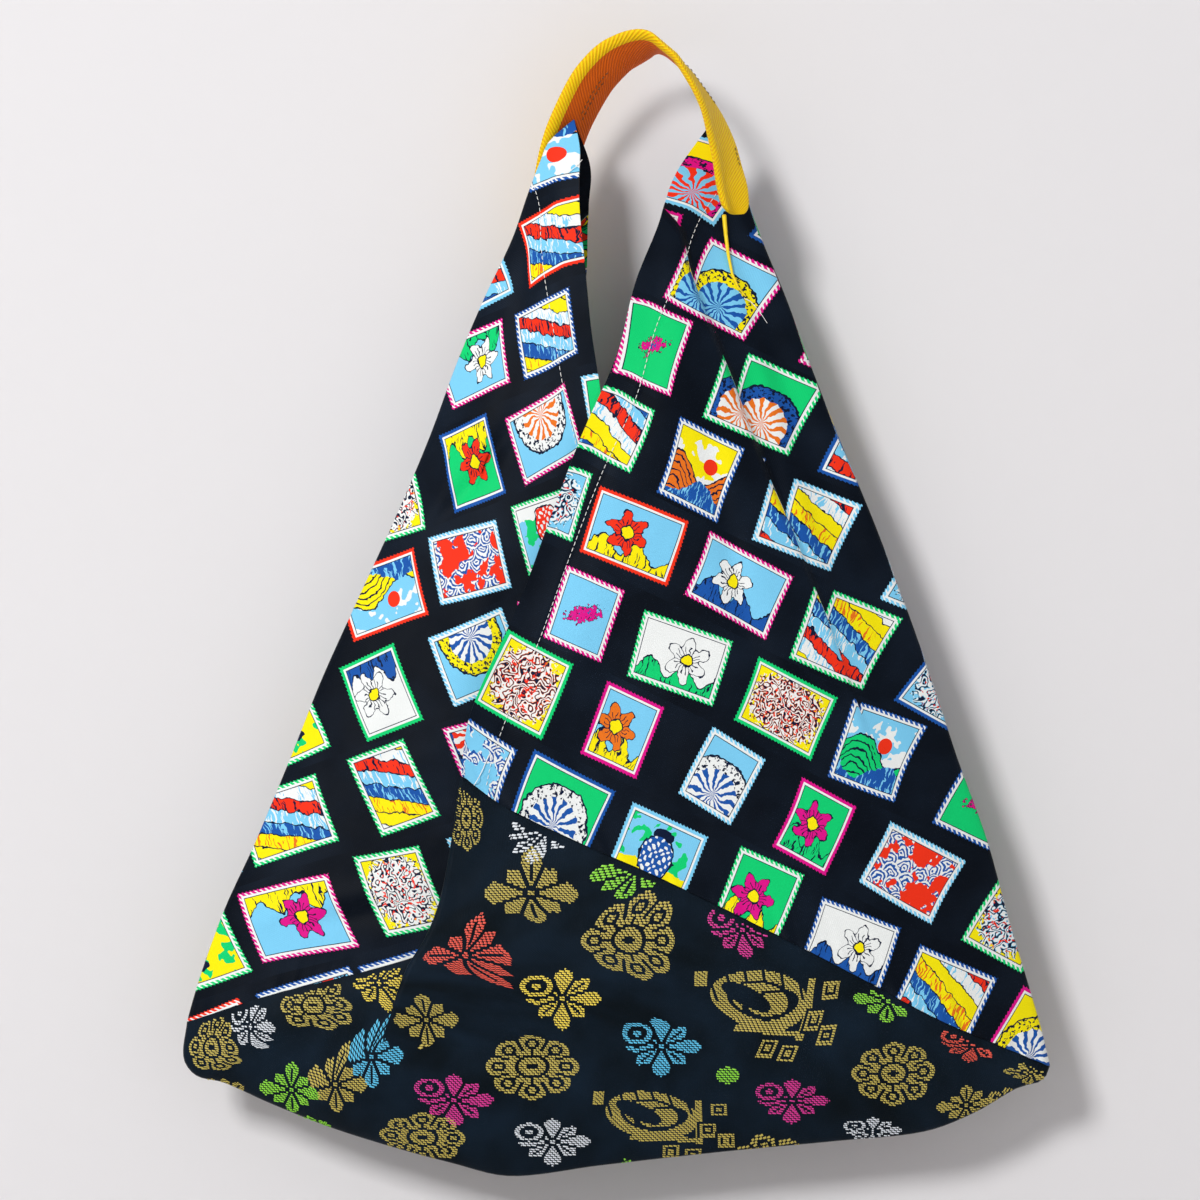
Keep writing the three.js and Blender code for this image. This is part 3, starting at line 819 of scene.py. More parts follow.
# Furrowed hills under a sun and clouds, with water below.
FIELDS = [
    ("sun_x", "MULTIPLY_ADD", "c1", 20.0, -10.0),
    ("sx", "SUBTRACT", "px", "sun_x"),
    ("sy", "SUBTRACT", "py", 5.0),
    ("sy", "MULTIPLY", "sy", "sy"),
    ("sun_far", "MULTIPLY_ADD", "sx", "sx", "sy"),
    ("in_sun", "LESS_THAN", "sun_far", 26.0),
    ("hill", "MULTIPLY_ADD", "nx", 3.4, "turn"),
    ("hill", "SINE", "hill"),
    ("hill_top", "MULTIPLY_ADD", "hill", 0.3, -0.05),
    ("in_hill", "LESS_THAN", "ny", "hill_top"),
    ("hill_line", "ADD", "hill_top", 0.05),
    ("hill_line", "LESS_THAN", "ny", "hill_line"),
    ("low_top", "MULTIPLY_ADD", "hill", -0.24, -0.5),
    ("in_low", "LESS_THAN", "ny", "low_top"),
    ("furrow", "SUBTRACT", "ny", "hill_top"),
    ("furrow", "MULTIPLY", "furrow", 34.0),
    ("furrow", "SINE", "furrow"),
    ("furrow", "GREATER_THAN", "furrow", 0.7),
    ("furrow", "MULTIPLY", "furrow", "in_hill"),
    ("water", "GREATER_THAN", "strokes", 0.57),
    ("water", "MULTIPLY", "water", "in_low"),
    ("cloud", "GREATER_THAN", "warp", 0.56),
    ("fields", "PICK", "c2", SKY, YELLOW, SKY),
    ("hills", "PICK", "a2", ORANGE, GREEN, RED, YELLOW, GREEN),
    ("fields", "OVER", "cloud", "fields", WHITE),
    ("fields", "OVER", "in_sun", "fields", RED),
    ("fields", "OVER", "hill_line", "fields", INK),
    ("fields", "OVER", "in_hill", "fields", "hills"),
    ("fields", "OVER", "furrow", "fields", INK),
    ("fields", "OVER", "in_low", "fields", BLUE),
    ("fields", "OVER", "water", "fields", SKY),
]
# Broad slanting bands with brush strokes.
BANDS = [
    ("slant", "MULTIPLY_ADD", "hx", 0.42, "hy"),
    ("slant", "MULTIPLY_ADD", "slant", 0.019, "c1"),
    ("slant", "ADD", "slant", 4.0),
    ("band", "FRACT", "slant"),
    ("band_line", "MULTIPLY", "band", 6.0),
    ("band_line", "FRACT", "band_line"),
    ("band_line", "LESS_THAN", "band_line", 0.09),
    ("band_stroke", "GREATER_THAN", "strokes", 0.58),
    ("bands", "PICK", "band", YELLOW, YELLOW, WHITE, RED, SKY, BLUE),
    ("stroke_colour", "PICK", "band", ORANGE, YELLOW, SKY, INK, WHITE, SKY),
    ("bands", "OVER", "band_stroke", "bands", "stroke_colour"),
    ("bands", "OVER", "band_line", "bands", INK),
]
# Close scrollwork in ink on a plain ground.
SCROLL = [
    ("curl", "MULTIPLY", "warp", 74.0),
    ("curl", "SINE", "curl"),
    ("in_curl", "GREATER_THAN", "curl", 0.1),
    ("in_ink", "LESS_THAN", "curl", -0.4),
    ("blob", "MULTIPLY", "nx", "nx"),
    ("blob", "MULTIPLY_ADD", "ny", "ny", "blob"),
    ("blob", "MULTIPLY_ADD", "grain", 1.4, "blob"),
    ("in_blob", "LESS_THAN", "blob", 1.5),
    ("spot", "GREATER_THAN", "grain", 0.6),
    ("scroll", "PICK", "c1", YELLOW, YELLOW, SKY),
    ("curls", "PICK", "c2", SKY, WHITE, ORANGE),
    ("busy", "OVER", "in_curl", "curls", WHITE),
    ("busy", "OVER", "in_ink", "busy", INK),
    ("busy", "OVER", "spot", "busy", RED),
    ("scroll", "OVER", "in_blob", "scroll", "busy"),
]
# Open fan with many ribs and a curled band.
FAN = [
    ("fan_y", "ADD", "hy", 14.0),
    ("fan_angle", "ARCTAN2", "fan_y", "hx"),
    ("fan_far", "MULTIPLY", "fan_y", "fan_y"),
    ("fan_far", "ADD", "fan_far", "hx2"),
    ("fan_far", "SQRT", "fan_far"),
    ("rib", "MULTIPLY", "fan_angle", 14.0),
    ("rib", "SINE", "rib"),
    ("rib", "GREATER_THAN", "rib", 0.1),
    ("in_fan", "LESS_THAN", "fan_far", 24.0),
    ("fan_line", "LESS_THAN", "fan_far", 25.2),
    ("fan_band", "GREATER_THAN", "fan_far", 17.0),
    ("fan_band", "MULTIPLY", "fan_band", "in_fan"),
    ("fan_curl", "GREATER_THAN", "grain", 0.55),
    ("fan_curl", "MULTIPLY", "fan_curl", "fan_band"),
    ("rib", "MULTIPLY", "rib", "in_fan"),
    ("fan", "PICK", "c1", GREEN, SKY, YELLOW, SKY),
    ("fan_paper", "PICK", "b1", WHITE, SKY, WHITE),
    ("fan_ribs", "PICK", "c2", RED, BLUE, ORANGE, BLUE),
    ("fan_top", "PICK", "b0", WHITE, BLUE, MAGENTA, YELLOW),
    ("fan", "OVER", "fan_line", "fan", INK),
    ("fan", "OVER", "in_fan", "fan", "fan_paper"),
    ("fan", "OVER", "rib", "fan", "fan_ribs"),
    ("fan", "OVER", "fan_band", "fan", "fan_top"),
    ("fan", "OVER", "fan_curl", "fan", INK),
]
# Small sprig on a plain ground.
SPRIG = [
    ("long_way", "MULTIPLY_ADD", "hy", 0.5, "hx"),
    ("short_way", "MULTIPLY_ADD", "hx", -0.5, "hy"),
    ("short_way", "MULTIPLY", "short_way", "short_way"),
    ("short_way", "MULTIPLY", "short_way", 0.03),
    ("long_way", "MULTIPLY", "long_way", "long_way"),
    ("sprig_far", "MULTIPLY_ADD", "long_way", 0.0042, "short_way"),
    ("sprig_far", "MULTIPLY_ADD", "grain", 4.2, "sprig_far"),
    ("in_sprig", "LESS_THAN", "sprig_far", 2.75),
    ("sprig_line", "LESS_THAN", "sprig_far", 3.0),
    ("sprig_heart", "LESS_THAN", "sprig_far", 1.85),
    ("sprig", "PICK", "c1", GREEN, GREEN, SKY),
    ("sprig", "OVER", "sprig_line", "sprig", INK),
    ("sprig", "OVER", "in_sprig", "sprig", MAGENTA),
    ("sprig", "OVER", "sprig_heart", "sprig", BLUE),
]
# Checked pot with a dark lid on a table.
POT = [
    ("pot_y", "ADD", "hy", 4.0),
    ("pot_far", "MULTIPLY_ADD", "pot_y", "pot_y", "hx2"),
    ("in_pot", "LESS_THAN", "pot_far", 150.0),
    ("pot_line", "LESS_THAN", "pot_far", 178.0),
    ("check_x", "MULTIPLY", "hx", 1.15),
    ("check_x", "SINE", "check_x"),
    ("check_y", "MULTIPLY", "hy", 1.15),
    ("check_y", "SINE", "check_y"),
    ("check", "MULTIPLY", "check_x", "check_y"),
    ("check", "GREATER_THAN", "check", 0.28),
    ("check", "MULTIPLY", "check", "in_pot"),
    ("lid_y", "SUBTRACT", "hy", 10.0),
    ("lid_y", "MULTIPLY", "lid_y", "lid_y"),
    ("lid_far", "MULTIPLY_ADD", "lid_y", 3.2, "hx2"),
    ("in_lid", "LESS_THAN", "lid_far", 60.0),
    ("table", "LESS_THAN", "ny", -0.45),
    ("pot_leaf", "GREATER_THAN", "warp", 0.57),
    ("pot", "PICK", "c1", SKY, YELLOW, SKY),
    ("pots", "PICK", "c2", RED, BLUE, RED),
    ("tables", "PICK", "b0", WHITE, GREEN, YELLOW),
    ("pot", "OVER", "pot_leaf", "pot", GREEN),
    ("pot", "OVER", "table", "pot", "tables"),
    ("pot", "OVER", "pot_line", "pot", INK),
    ("pot", "OVER", "in_lid", "pot", INK),
    ("pot", "OVER", "in_pot", "pot", "pots"),
    ("pot", "OVER", "check", "pot", WHITE),
]
# Rows of ripples.
RIPPLES = [
    ("ripple_row", "MULTIPLY_ADD", "hy", 1 / 7, 40.0),
    ("ripple_odd", "FLOOR", "ripple_row"),
    ("ripple_y", "FRACT", "ripple_row"),
    ("ripple_y", "MULTIPLY", "ripple_y", 7.0),
    ("ripple_x", "MULTIPLY_ADD", "hx", 1 / 13, 40.0),
    ("ripple_x", "MULTIPLY_ADD", "ripple_odd", 0.5, "ripple_x"),
    ("ripple_x", "FRACT", "ripple_x"),
    ("ripple_x", "MULTIPLY_ADD", "ripple_x", 13.0, -6.5),
    ("ripple_y", "MULTIPLY", "ripple_y", "ripple_y"),
    ("ripple", "MULTIPLY_ADD", "ripple_x", "ripple_x", "ripple_y"),
    ("ripple", "SQRT", "ripple"),
    ("ripple", "MULTIPLY", "ripple", 2.7),
    ("ripple", "SINE", "ripple"),
    ("ripple", "GREATER_THAN", "ripple", 0.05),
    ("foam", "GREATER_THAN", "warp", 0.53),
    ("ripples", "PICK", "c1", WHITE, SKY, WHITE),
    ("lines", "PICK", "c2", BLUE, BLUE, INK),
    ("foams", "PICK", "b0", SKY, RED, SKY, WHITE),
    ("ripples", "OVER", "ripple", "ripples", "lines"),
    ("ripples", "OVER", "foam", "ripples", "foams"),
]
MOTIFS = {
    "bands": BANDS,
    "fields": FIELDS,
    "flower": FLOWER,
    "scroll": SCROLL,
    "pot": POT,
    "ripples": RIPPLES,
    "fan": FAN,
    "sprig": SPRIG,
}


def printed_cotton(sizes, name, seed):
    """Plain-woven cotton, printed with a field of small picture cards: matt, with painted sheen in soft
    lighter patches of its navy ground, and with crisp, saturated inks drawn by hand."""
    material, tree, shader = surface(name, sheen=0.01, roughness=0.5, specular_ior_level=0.06)
    flat = add(tree, "UVMap", uv_map="flat_cloth")
    place = add(tree, "SeparateXYZ", flat)
    panel = 1000 * PANEL
    wide = sizes.card_pitch_across * 1000
    tall = sizes.card_pitch_up * 1000
    known = {"u": place.outputs[0], "v": place.outputs[1]}
    work_out(tree, known, [
        ("y", "MULTIPLY_ADD", "v", panel, FAR_BACK),
        ("rows", "DIVIDE", "y", tall),
        ("row", "FLOOR", "rows"),
        ("odd", "MODULO", "row", 2.0),
        ("slide", "MULTIPLY_ADD", "row", ROW_SLIDE, 2 * FAR_BACK),
        ("slide", "MULTIPLY_ADD", "odd", wide * 0.5, "slide"),
        ("x", "MULTIPLY_ADD", "u", panel, "slide"),
        ("columns", "DIVIDE", "x", wide),
        ("column", "FLOOR", "columns"),
        ("column_middle", "ADD", "column", 0.5),
        ("row_middle", "ADD", "row", 0.5),
        ("x_back", "MULTIPLY", "column_middle", wide),
        ("y_back", "MULTIPLY", "row_middle", tall),
        ("lx", "SUBTRACT", "x", "x_back"),
        ("ly", "SUBTRACT", "y", "y_back"),
    ])
    for k, letter in enumerate("abc"):
        cell = add(tree, "CombineXYZ", known["column"], known["row"], float(seed + k))
        dice = add(tree, "TexWhiteNoise", cell, noise_dimensions="3D")
        chance = add(tree, "SeparateXYZ", dice.outputs["Color"])
        for axis in range(3):
            known[f"{letter}{axis}"] = chance.outputs[axis]
    work_out(tree, known, CARD_FRAME)
    # The hand of the drawing: every line wavers a little.
    drawn = add(tree, "CombineXYZ", known["px"], known["py"], known["turn"])
    waver = add(tree, "SeparateXYZ", add(tree, "TexNoise", drawn, None, 0.13, 2.0, 0.6).outputs["Color"])
    known["waver_x"] = waver.outputs[0]
    known["waver_y"] = waver.outputs[1]
    known["grain"] = add(tree, "TexNoise", drawn, None, 0.42, 2.0, 0.6).outputs[0]
    known["warp"] = add(tree, "TexNoise", drawn, None, 0.085, 2.0, 0.6).outputs[0]
    work_out(tree, known, [
        ("waver_x", "MULTIPLY_ADD", "waver_x", 7.0, -3.5),
        ("waver_y", "MULTIPLY_ADD", "waver_y", 7.0, -3.5),
        ("hx", "ADD", "px", "waver_x"),
        ("hy", "ADD", "py", "waver_y"),
        ("nx", "DIVIDE", "hx", "half_x"),
        ("ny", "DIVIDE", "hy", "half_y"),
        ("hx2", "MULTIPLY", "hx", "hx"),
        ("hy2", "MULTIPLY", "hy", "hy"),
        ("scratch_x", "MULTIPLY", "hx", 0.75),
        ("scratch_y", "MULTIPLY", "hy", 0.1),
    ])
    stroke_place = add(tree, "CombineXYZ", known["scratch_x"], known["scratch_y"], known["turn"])
    known["strokes"] = add(tree, "TexNoise", stroke_place, None, 1.0, 1.0, 0.5).outputs[0]
    for motif in MOTIFS.values():
        work_out(tree, known, motif)
    names = list(MOTIFS)
    known["picture"] = known[names[0]]
    for k, motif in enumerate(names[1:]):
        work_out(tree, known, [
            ("styled", "GREATER_THAN", "b2", (k + 1) / len(names)),
            ("picture", "OVER", "styled", "picture", motif),
        ])
    # Painted sheen: large soft noise patches lighten the navy ground.
    ground_place = add(tree, "CombineXYZ", known["x"], known["y"], 0.0)
    known["cloud"] = add(tree, "TexNoise", ground_place, None, 0.016, 2.0, 0.55).outputs[0]
    work_out(tree, known, [
        ("cloud", "MULTIPLY_ADD", "cloud", 3.0, -1.2),
        ("ground", "OVER", "cloud", NAVY, PAINTED_SHEEN_NAVY),
        ("border", "PICK", "a1", SKY, MAGENTA, SKY, BLUE, GREEN, RED, SKY, MAGENTA, GREEN, BLUE),
        ("border", "OVER", "dash", "border", WHITE),
        ("framed", "OVER", "inside_border", "border", WHITE),
        ("framed", "OVER", "field", "framed", INK),
        ("framed", "OVER", "line", "framed", "picture"),
        ("cloth", "OVER", "card", "ground", "framed"),
    ])
    tree.links.new(known["cloth"], shader.inputs["Base Color"])
    weave(tree, shader, flat)
    return material


THREAD_SPACING = 0.9 * MM
THREAD_HEIGHT = 0.12 * MM


def weave(tree, shader, flat):
    """Raised threads of a plain weave. The real thread spacing is finer, and is drawn this
    coarse so that it shows."""
    place = add(tree, "SeparateXYZ", flat)
    known = {"u": place.outputs[0], "v": place.outputs[1]}
    turns = math.pi * PANEL / THREAD_SPACING
    work_out(tree, known, [
        ("warp", "MULTIPLY", "u", turns),
        ("weft", "MULTIPLY", "v", turns),
        ("warp", "SINE", "warp"),
        ("weft", "SINE", "weft"),
        ("height", "MULTIPLY", "warp", "weft"),
    ])
    bump = add(tree, "Bump", named={"Strength": 0.35, "Distance": THREAD_HEIGHT, "Height": known["height"]})
    tree.links.new(bump.outputs[0], shader.inputs["Normal"])


def brocade():
    """Dark cotton brocade, close-woven and calendered: a deep blue-black that greys a little in fine flecks
    where the threads are rubbed, and in broad soft patches of painted sheen."""
    material, tree, shader = surface("brocade", sheen=0.01, roughness=0.5, specular_ior_level=0.08)
    flat = add(tree, "UVMap", uv_map="flat_cloth")
    place = add(tree, "Mapping", flat, None, None, (PANEL * 1000, PANEL * 1000, 1.0))
    fleck = add(tree, "TexNoise", place, None, 1.6, 2.0, 0.6)
    cloudy = add(tree, "TexNoise", place, None, 0.018, 2.0, 0.6)
    known = {"fleck": fleck.outputs[0], "cloudy": cloudy.outputs[0]}
    work_out(tree, known, [
        ("share", "MULTIPLY_ADD", "fleck", 0.7, -1.0),
        ("share", "MULTIPLY_ADD", "cloudy", 2.0, "share"),
        ("tone", "OVER", "share", BROCADE_DARK, BROCADE_RUBBED_AND_SHEEN),
    ])
    tree.links.new(known["tone"], shader.inputs["Base Color"])
    weave(tree, shader, flat)
    return material


def webbing(name, colour, groove_shade, sizes):
    """Nylon webbing, thick and slightly silky, with slanting twill ribs, whose grooves are painted darker
    as painted shade."""
    material, tree, shader = surface(name, sheen=0.0, roughness=0.55, specular_ior_level=0.2)
    flat = add(tree, "UVMap", uv_map="flat_strap")
    place = add(tree, "SeparateXYZ", flat)
    known = {"u": place.outputs[0], "v": place.outputs[1]}
    work_out(tree, known, [
        ("lie", "MULTIPLY_ADD", "v", TWILL_SLANT, "u"),
        ("lie", "MULTIPLY", "lie", 2 * math.pi / sizes.twill_pitch),
        ("lie", "SINE", "lie"),
        ("cross", "MULTIPLY_ADD", "v", -1.6, "u"),
        ("cross", "MULTIPLY", "cross", 2 * math.pi / (0.6 * sizes.twill_pitch)),
        ("cross", "SINE", "cross"),
        ("rib", "MULTIPLY_ADD", "cross", 0.3, "lie"),
        ("low", "MULTIPLY_ADD", "rib", -0.45, 0.35),
        ("tone", "OVER", "low", colour, groove_shade),
    ])
    tree.links.new(known["tone"], shader.inputs["Base Color"])
    bump = add(tree, "Bump", named={"Strength": 0.6, "Distance": 0.3 * MM, "Height": known["rib"]})
    tree.links.new(bump.outputs[0], shader.inputs["Normal"])
    return material


def thread_material(name, colour):
    """Spun cotton thread: a soft colour with the slight silkiness of its twist."""
    material, tree, shader = surface(name, sheen=0.06, roughness=0.5)
    shader.inputs["Base Color"].default_value = linear(colour)
    return material


def sizes_of(context):
    return context.scene.bento_bag_sizes


def colours_of(context):
    return context.scene.bento_bag_colours


class BagSizes(bpy.types.PropertyGroup):
    """Sizes that change the bag's look."""

    card_pitch_across: bpy.props.FloatProperty(
        name="Card Pitch Across", description="One printed card to the next, along the print",
        default=0.074, unit="LENGTH")
    card_pitch_up: bpy.props.FloatProperty(
        name="Card Pitch Up", description="One row of printed cards to the next",
        default=0.058, unit="LENGTH")
    twill_pitch: bpy.props.FloatProperty(
        name="Twill Pitch", description="One slanting rib of the strap to the next",
        default=0.0026, unit="LENGTH")


class BagColours(bpy.types.PropertyGroup):
    """Colours of the woven flowers and the strap, as sRGB hex values."""

    gold: bpy.props.StringProperty(name="Gold", description="Gold flowers", default="#C9B654")
    red: bpy.props.StringProperty(name="Red", description="Red flowers", default="#F25A45")
    yellow: bpy.props.StringProperty(name="Yellow", description="Yellow flowers", default="#FADF50")
    blue: bpy.props.StringProperty(name="Blue", description="Blue flowers", default="#5CC8F0")
    magenta: bpy.props.StringProperty(name="Magenta", description="Magenta flowers", default="#E23098")
    lime: bpy.props.StringProperty(name="Lime", description="Lime flowers", default="#90E036")
    white: bpy.props.StringProperty(name="White", description="White flowers", default="#E6ECF2")
    strap: bpy.props.StringProperty(name="Strap", description="Strap's outside", default="#FFDC08")
    # The strap's inside is painted orange as painted shade.
    strap_inside_shade: bpy.props.StringProperty(
        name="Strap Inside", description="Strap's shaded inside", default="#F0700A")


class BENTO_OT_left_cloth(bpy.types.Operator):
    """Build the printed cloth that carries the left ear."""

    bl_idname = "bento.left_cloth"
    bl_label = "Left Cloth"

    def execute(self, context):
        grid, alpha, beta = side_sheet(True)
        material = printed_cotton(sizes_of(context), "printed_cotton_left", 3)
        piece = cloth_piece("left_cloth", grid, (alpha, 1 - beta), material)
        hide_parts("left_panel")
        return {"FINISHED"}


class BENTO_OT_right_cloth(bpy.types.Operator):
    """Build the printed cloth that carries the right ear and laps over in front."""

    bl_idname = "bento.right_cloth"
    bl_label = "Right Cloth"

    def execute(self, context):
        grid, alpha, beta = side_sheet(False)
        material = printed_cotton(sizes_of(context), "printed_cotton_right", 11)
        piece = cloth_piece("right_cloth", grid, (1 - beta, 1 - alpha), material)
        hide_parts("right_panel")
        return {"FINISHED"}


class BENTO_OT_base_cloth(bpy.types.Operator):
    """Build the brocade cloth that makes the bottom."""

    bl_idname = "bento.base_cloth"
    bl_label = "Base Cloth"

    def execute(self, context):
        grid, alpha, beta = base_sheet()
        piece = cloth_piece("base_cloth", grid, (alpha, beta), brocade())
        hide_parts("base_panel")
        return {"FINISHED"}


def leaves(x, y, lengths, veined):
    """Pointed, saw-edged leaves round a small eye, one for each length, split by dark gaps."""
    far = np.hypot(x, y)
    angle = np.arctan2(y, x)
    step = 2 * math.pi / len(lengths)
    leaf = np.round(angle / step).astype(int) % len(lengths)
    off = np.abs(angle - np.round(angle / step) * step)
    reach = far / np.array(lengths)[leaf]
    saw = 1 + 0.12 * np.sign(np.sin(far * 24))
    half = np.minimum(step / 2, step * 0.95 * np.clip(1 - reach**2.2, 0, 1) * saw)
    gap = far * np.sin(step / 2 - off) < 0.04
    vein = np.array(veined)[leaf] & (far * np.sin(off) < 0.028) & (far > 0.3) & (reach < 0.8)
    eye = (far > 0.08) & (far < 0.15)
    return (off < half) & ~(gap & (far > 0.12)) & ~vein & ~eye


def leaf_star(x, y):
    """Eight leaves: four long ones with veins, and four short ones between them."""
    return leaves(x, y, (1.05, 0.78, 1.0, 0.74, 1.08, 0.8, 0.96, 0.78), (True, False) * 4)


def curled_star(x, y):
    """Eight leaves, one of them curled over into a ring."""
    curl_far = np.hypot(x + 0.6, y - 0.42)
    curl = ((curl_far > 0.24) & (curl_far < 0.38)) | (curl_far < 0.11)
    near_curl = curl_far < 0.46
    star = leaves(x, y, (1.0, 0.86, 0.98, 0.5, 0.9, 0.84, 0.98, 0.82), (False, True) * 4)
    return (star & ~near_curl) | curl


def rosette(x, y):
    """A broad oval flower: eight curled lobes round a small oval eye."""
    far = np.hypot(x, y)
    angle = np.arctan2(y, x)
    outline = 0.84 + 0.14 * np.abs(np.cos(4 * angle))
    lobe = np.round(angle / (math.pi / 4)) * math.pi / 4
    from_lobe = np.hypot(x - 0.7 * np.cos(lobe), y - 0.7 * np.sin(lobe))
    curl = (from_lobe > 0.09) & (from_lobe < 0.155)
    cleft = (far * np.abs(np.cos(4 * angle)) < 0.13) & (far > 0.52)
    ring = (far > 0.29) & (far < 0.36)
    slit = (np.abs(np.sin(4 * angle)) * far < 0.1) & (far > 0.36) & (far < 0.54)
    eye = np.hypot(x / 0.13, y / 0.07) < 1
    return (far < outline) & ~curl & ~cleft & ~ring & ~slit & ~eye


def paisley(x, y):
    """A big curled leaf on a stem with small square flowers."""
    def oval(middle_x, middle_y, half_x, half_y, turn):
        dx = (x - middle_x) * math.cos(turn) + (y - middle_y) * math.sin(turn) * 0.6
        dy = (y - middle_y) * math.cos(turn) - (x - middle_x) * math.sin(turn) / 0.6
        return np.hypot(dx / half_x, dy / half_y)

    def block(middle_x, middle_y, half_x, half_y):
        return np.maximum(np.abs(x - middle_x) / half_x, np.abs(y - middle_y) / half_y)

    leaf = oval(-0.16, 0.22, 0.66, 0.62, -0.22)
    hole = oval(-0.34, 0.3, 0.36, 0.2, -0.5)
    inner = oval(-0.02, 0.12, 0.3, 0.24, 0.1)
    body = (leaf < 1) & (hole > 1) & ~((leaf > 0.58) & (leaf < 0.66)) & ~((inner > 1) & (inner < 1.25))
    veins = (np.abs(np.sin(14 * (x + 0.2 * y))) < 0.2) & (y > 0.2) & (leaf > 0.66)
    stem = (np.abs(y + 0.42 + 0.1 * x) < 0.06) & (x > -0.45) & (x < 0.5)
    post = block(0.5, 0.0, 0.05, 0.6) < 1
    shapes = (body & ~veins) | stem | post | (block(-0.92, 0.72, 0.08, 0.18) < 1)
    for middle_x, middle_y in ((0.62, -0.22), (0.78, 0.32), (0.86, -0.5), (0.12, -0.76), (0.42, -0.84)):
        square = block(middle_x, middle_y, 0.125, 0.19)
        shapes = (shapes & ~(square < 1.15)) | (square < 0.92)
        shapes &= ~((square > 0.35) & (square < 0.55))
    return shapes


def bud(x, y):
    return np.hypot(x, y) < 0.9


FORMS = {"leaf_star": leaf_star, "curled_star": curled_star, "rosette": rosette,
         "paisley": paisley, "bud": bud}
NEAR = 4 * MM  # cloth counts as lying at a place within this distance

# The back's flowers take the colours of others, as a repeat of the pattern would.
BACK_COLOURS = {"gold": "gold", "red": "yellow", "yellow": "blue", "blue": "magenta",
                "magenta": "white", "lime": "red", "white": "lime"}


class FlatCloth:
    """Finds where places of the flat base cloth lie on the folded bag."""

    def __init__(self):
        self.grid, alpha, beta = base_sheet(columns=200)
        self.normal = outward(self.grid)
        half = self.grid.shape[0] // 2
        rest = alpha + beta
        self.level = rest[:, 0]
        in_front = np.arange(len(rest))[:, None] <= half
        with_w = np.where(in_front, rest, 2 - rest)
        run = np.where(in_front, beta, 1 - alpha)
        self.share = run / np.maximum(with_w, 1e-6)
        self.alpha = alpha
        self.beta = beta

    def find(self, across, up):
        """The flat place under a point of the front: the nearest of the outermost layer."""
        half = self.grid.shape[0] // 2
        front = self.grid[:half]
        far = np.hypot(front[..., 0] - across, front[..., 2] - up)
        near = far < NEAR
        if not near.any():
            near = far <= far.min() + 1e-9
        depth = np.where(near, front[..., 1], 1e9)
        i, k = np.unravel_index(np.argmin(depth), depth.shape)
        return self.alpha[i, k], self.beta[i, k]

    def level_frame(self, alpha, beta):
        """Flat-cloth steps for a metre level along the cloth and for a metre up it."""
        h = 0.006
        a = np.array([alpha + h, alpha - h, alpha, alpha])
        b = np.array([beta, beta, beta + h, beta - h])
        at = self.lift(a, b, np.zeros(4))
        along_a = (at[0] - at[1]) / (2 * h)
        along_b = (at[2] - at[3]) / (2 * h)
        normal = np.cross(along_a, along_b)
        normal /= np.linalg.norm(normal)
        level = np.array([1.0, 0.0, 0.0])
        level -= normal * (level @ normal)
        level /= np.linalg.norm(level)
        up = np.cross(level, normal)
        up *= np.sign(up[2])
        to_flat = np.linalg.pinv(np.stack([along_a, along_b], 1))
        return to_flat @ level, to_flat @ up

    def lift(self, alpha, beta, height):
        """Places on the folded bag of flat places, raised along the cloth's normal."""
        level = np.clip(alpha + beta, self.level[0], self.level[-1])
        row = np.interp(level, self.level, np.arange(len(self.level)))
        i = np.clip(row.astype(int), 0, len(self.level) - 2)
        part = (row - i)[:, None]
        on_front = (alpha + beta) <= 1
        share = np.where(on_front, beta / np.maximum(alpha + beta, 1e-6),
                         (1 - alpha) / np.maximum(2 - alpha - beta, 1e-6))
        found = []
        for line in (i, i + 1):
            place = np.array([np.interp(s, self.share[r], np.arange(self.share.shape[1]))
                              for s, r in zip(share, line)])
            k = np.clip(place.astype(int), 0, self.share.shape[1] - 2)
            rest = (place - k)[:, None]
            point = mix(self.grid[line, k], self.grid[line, k + 1], rest)
            normal = mix(self.normal[line, k], self.normal[line, k + 1], rest)
            found.append((point, normal))
        point = mix(found[0][0], found[1][0], part)
        normal = mix(found[0][1], found[1][1], part)
        return point + normal * height[:, None]


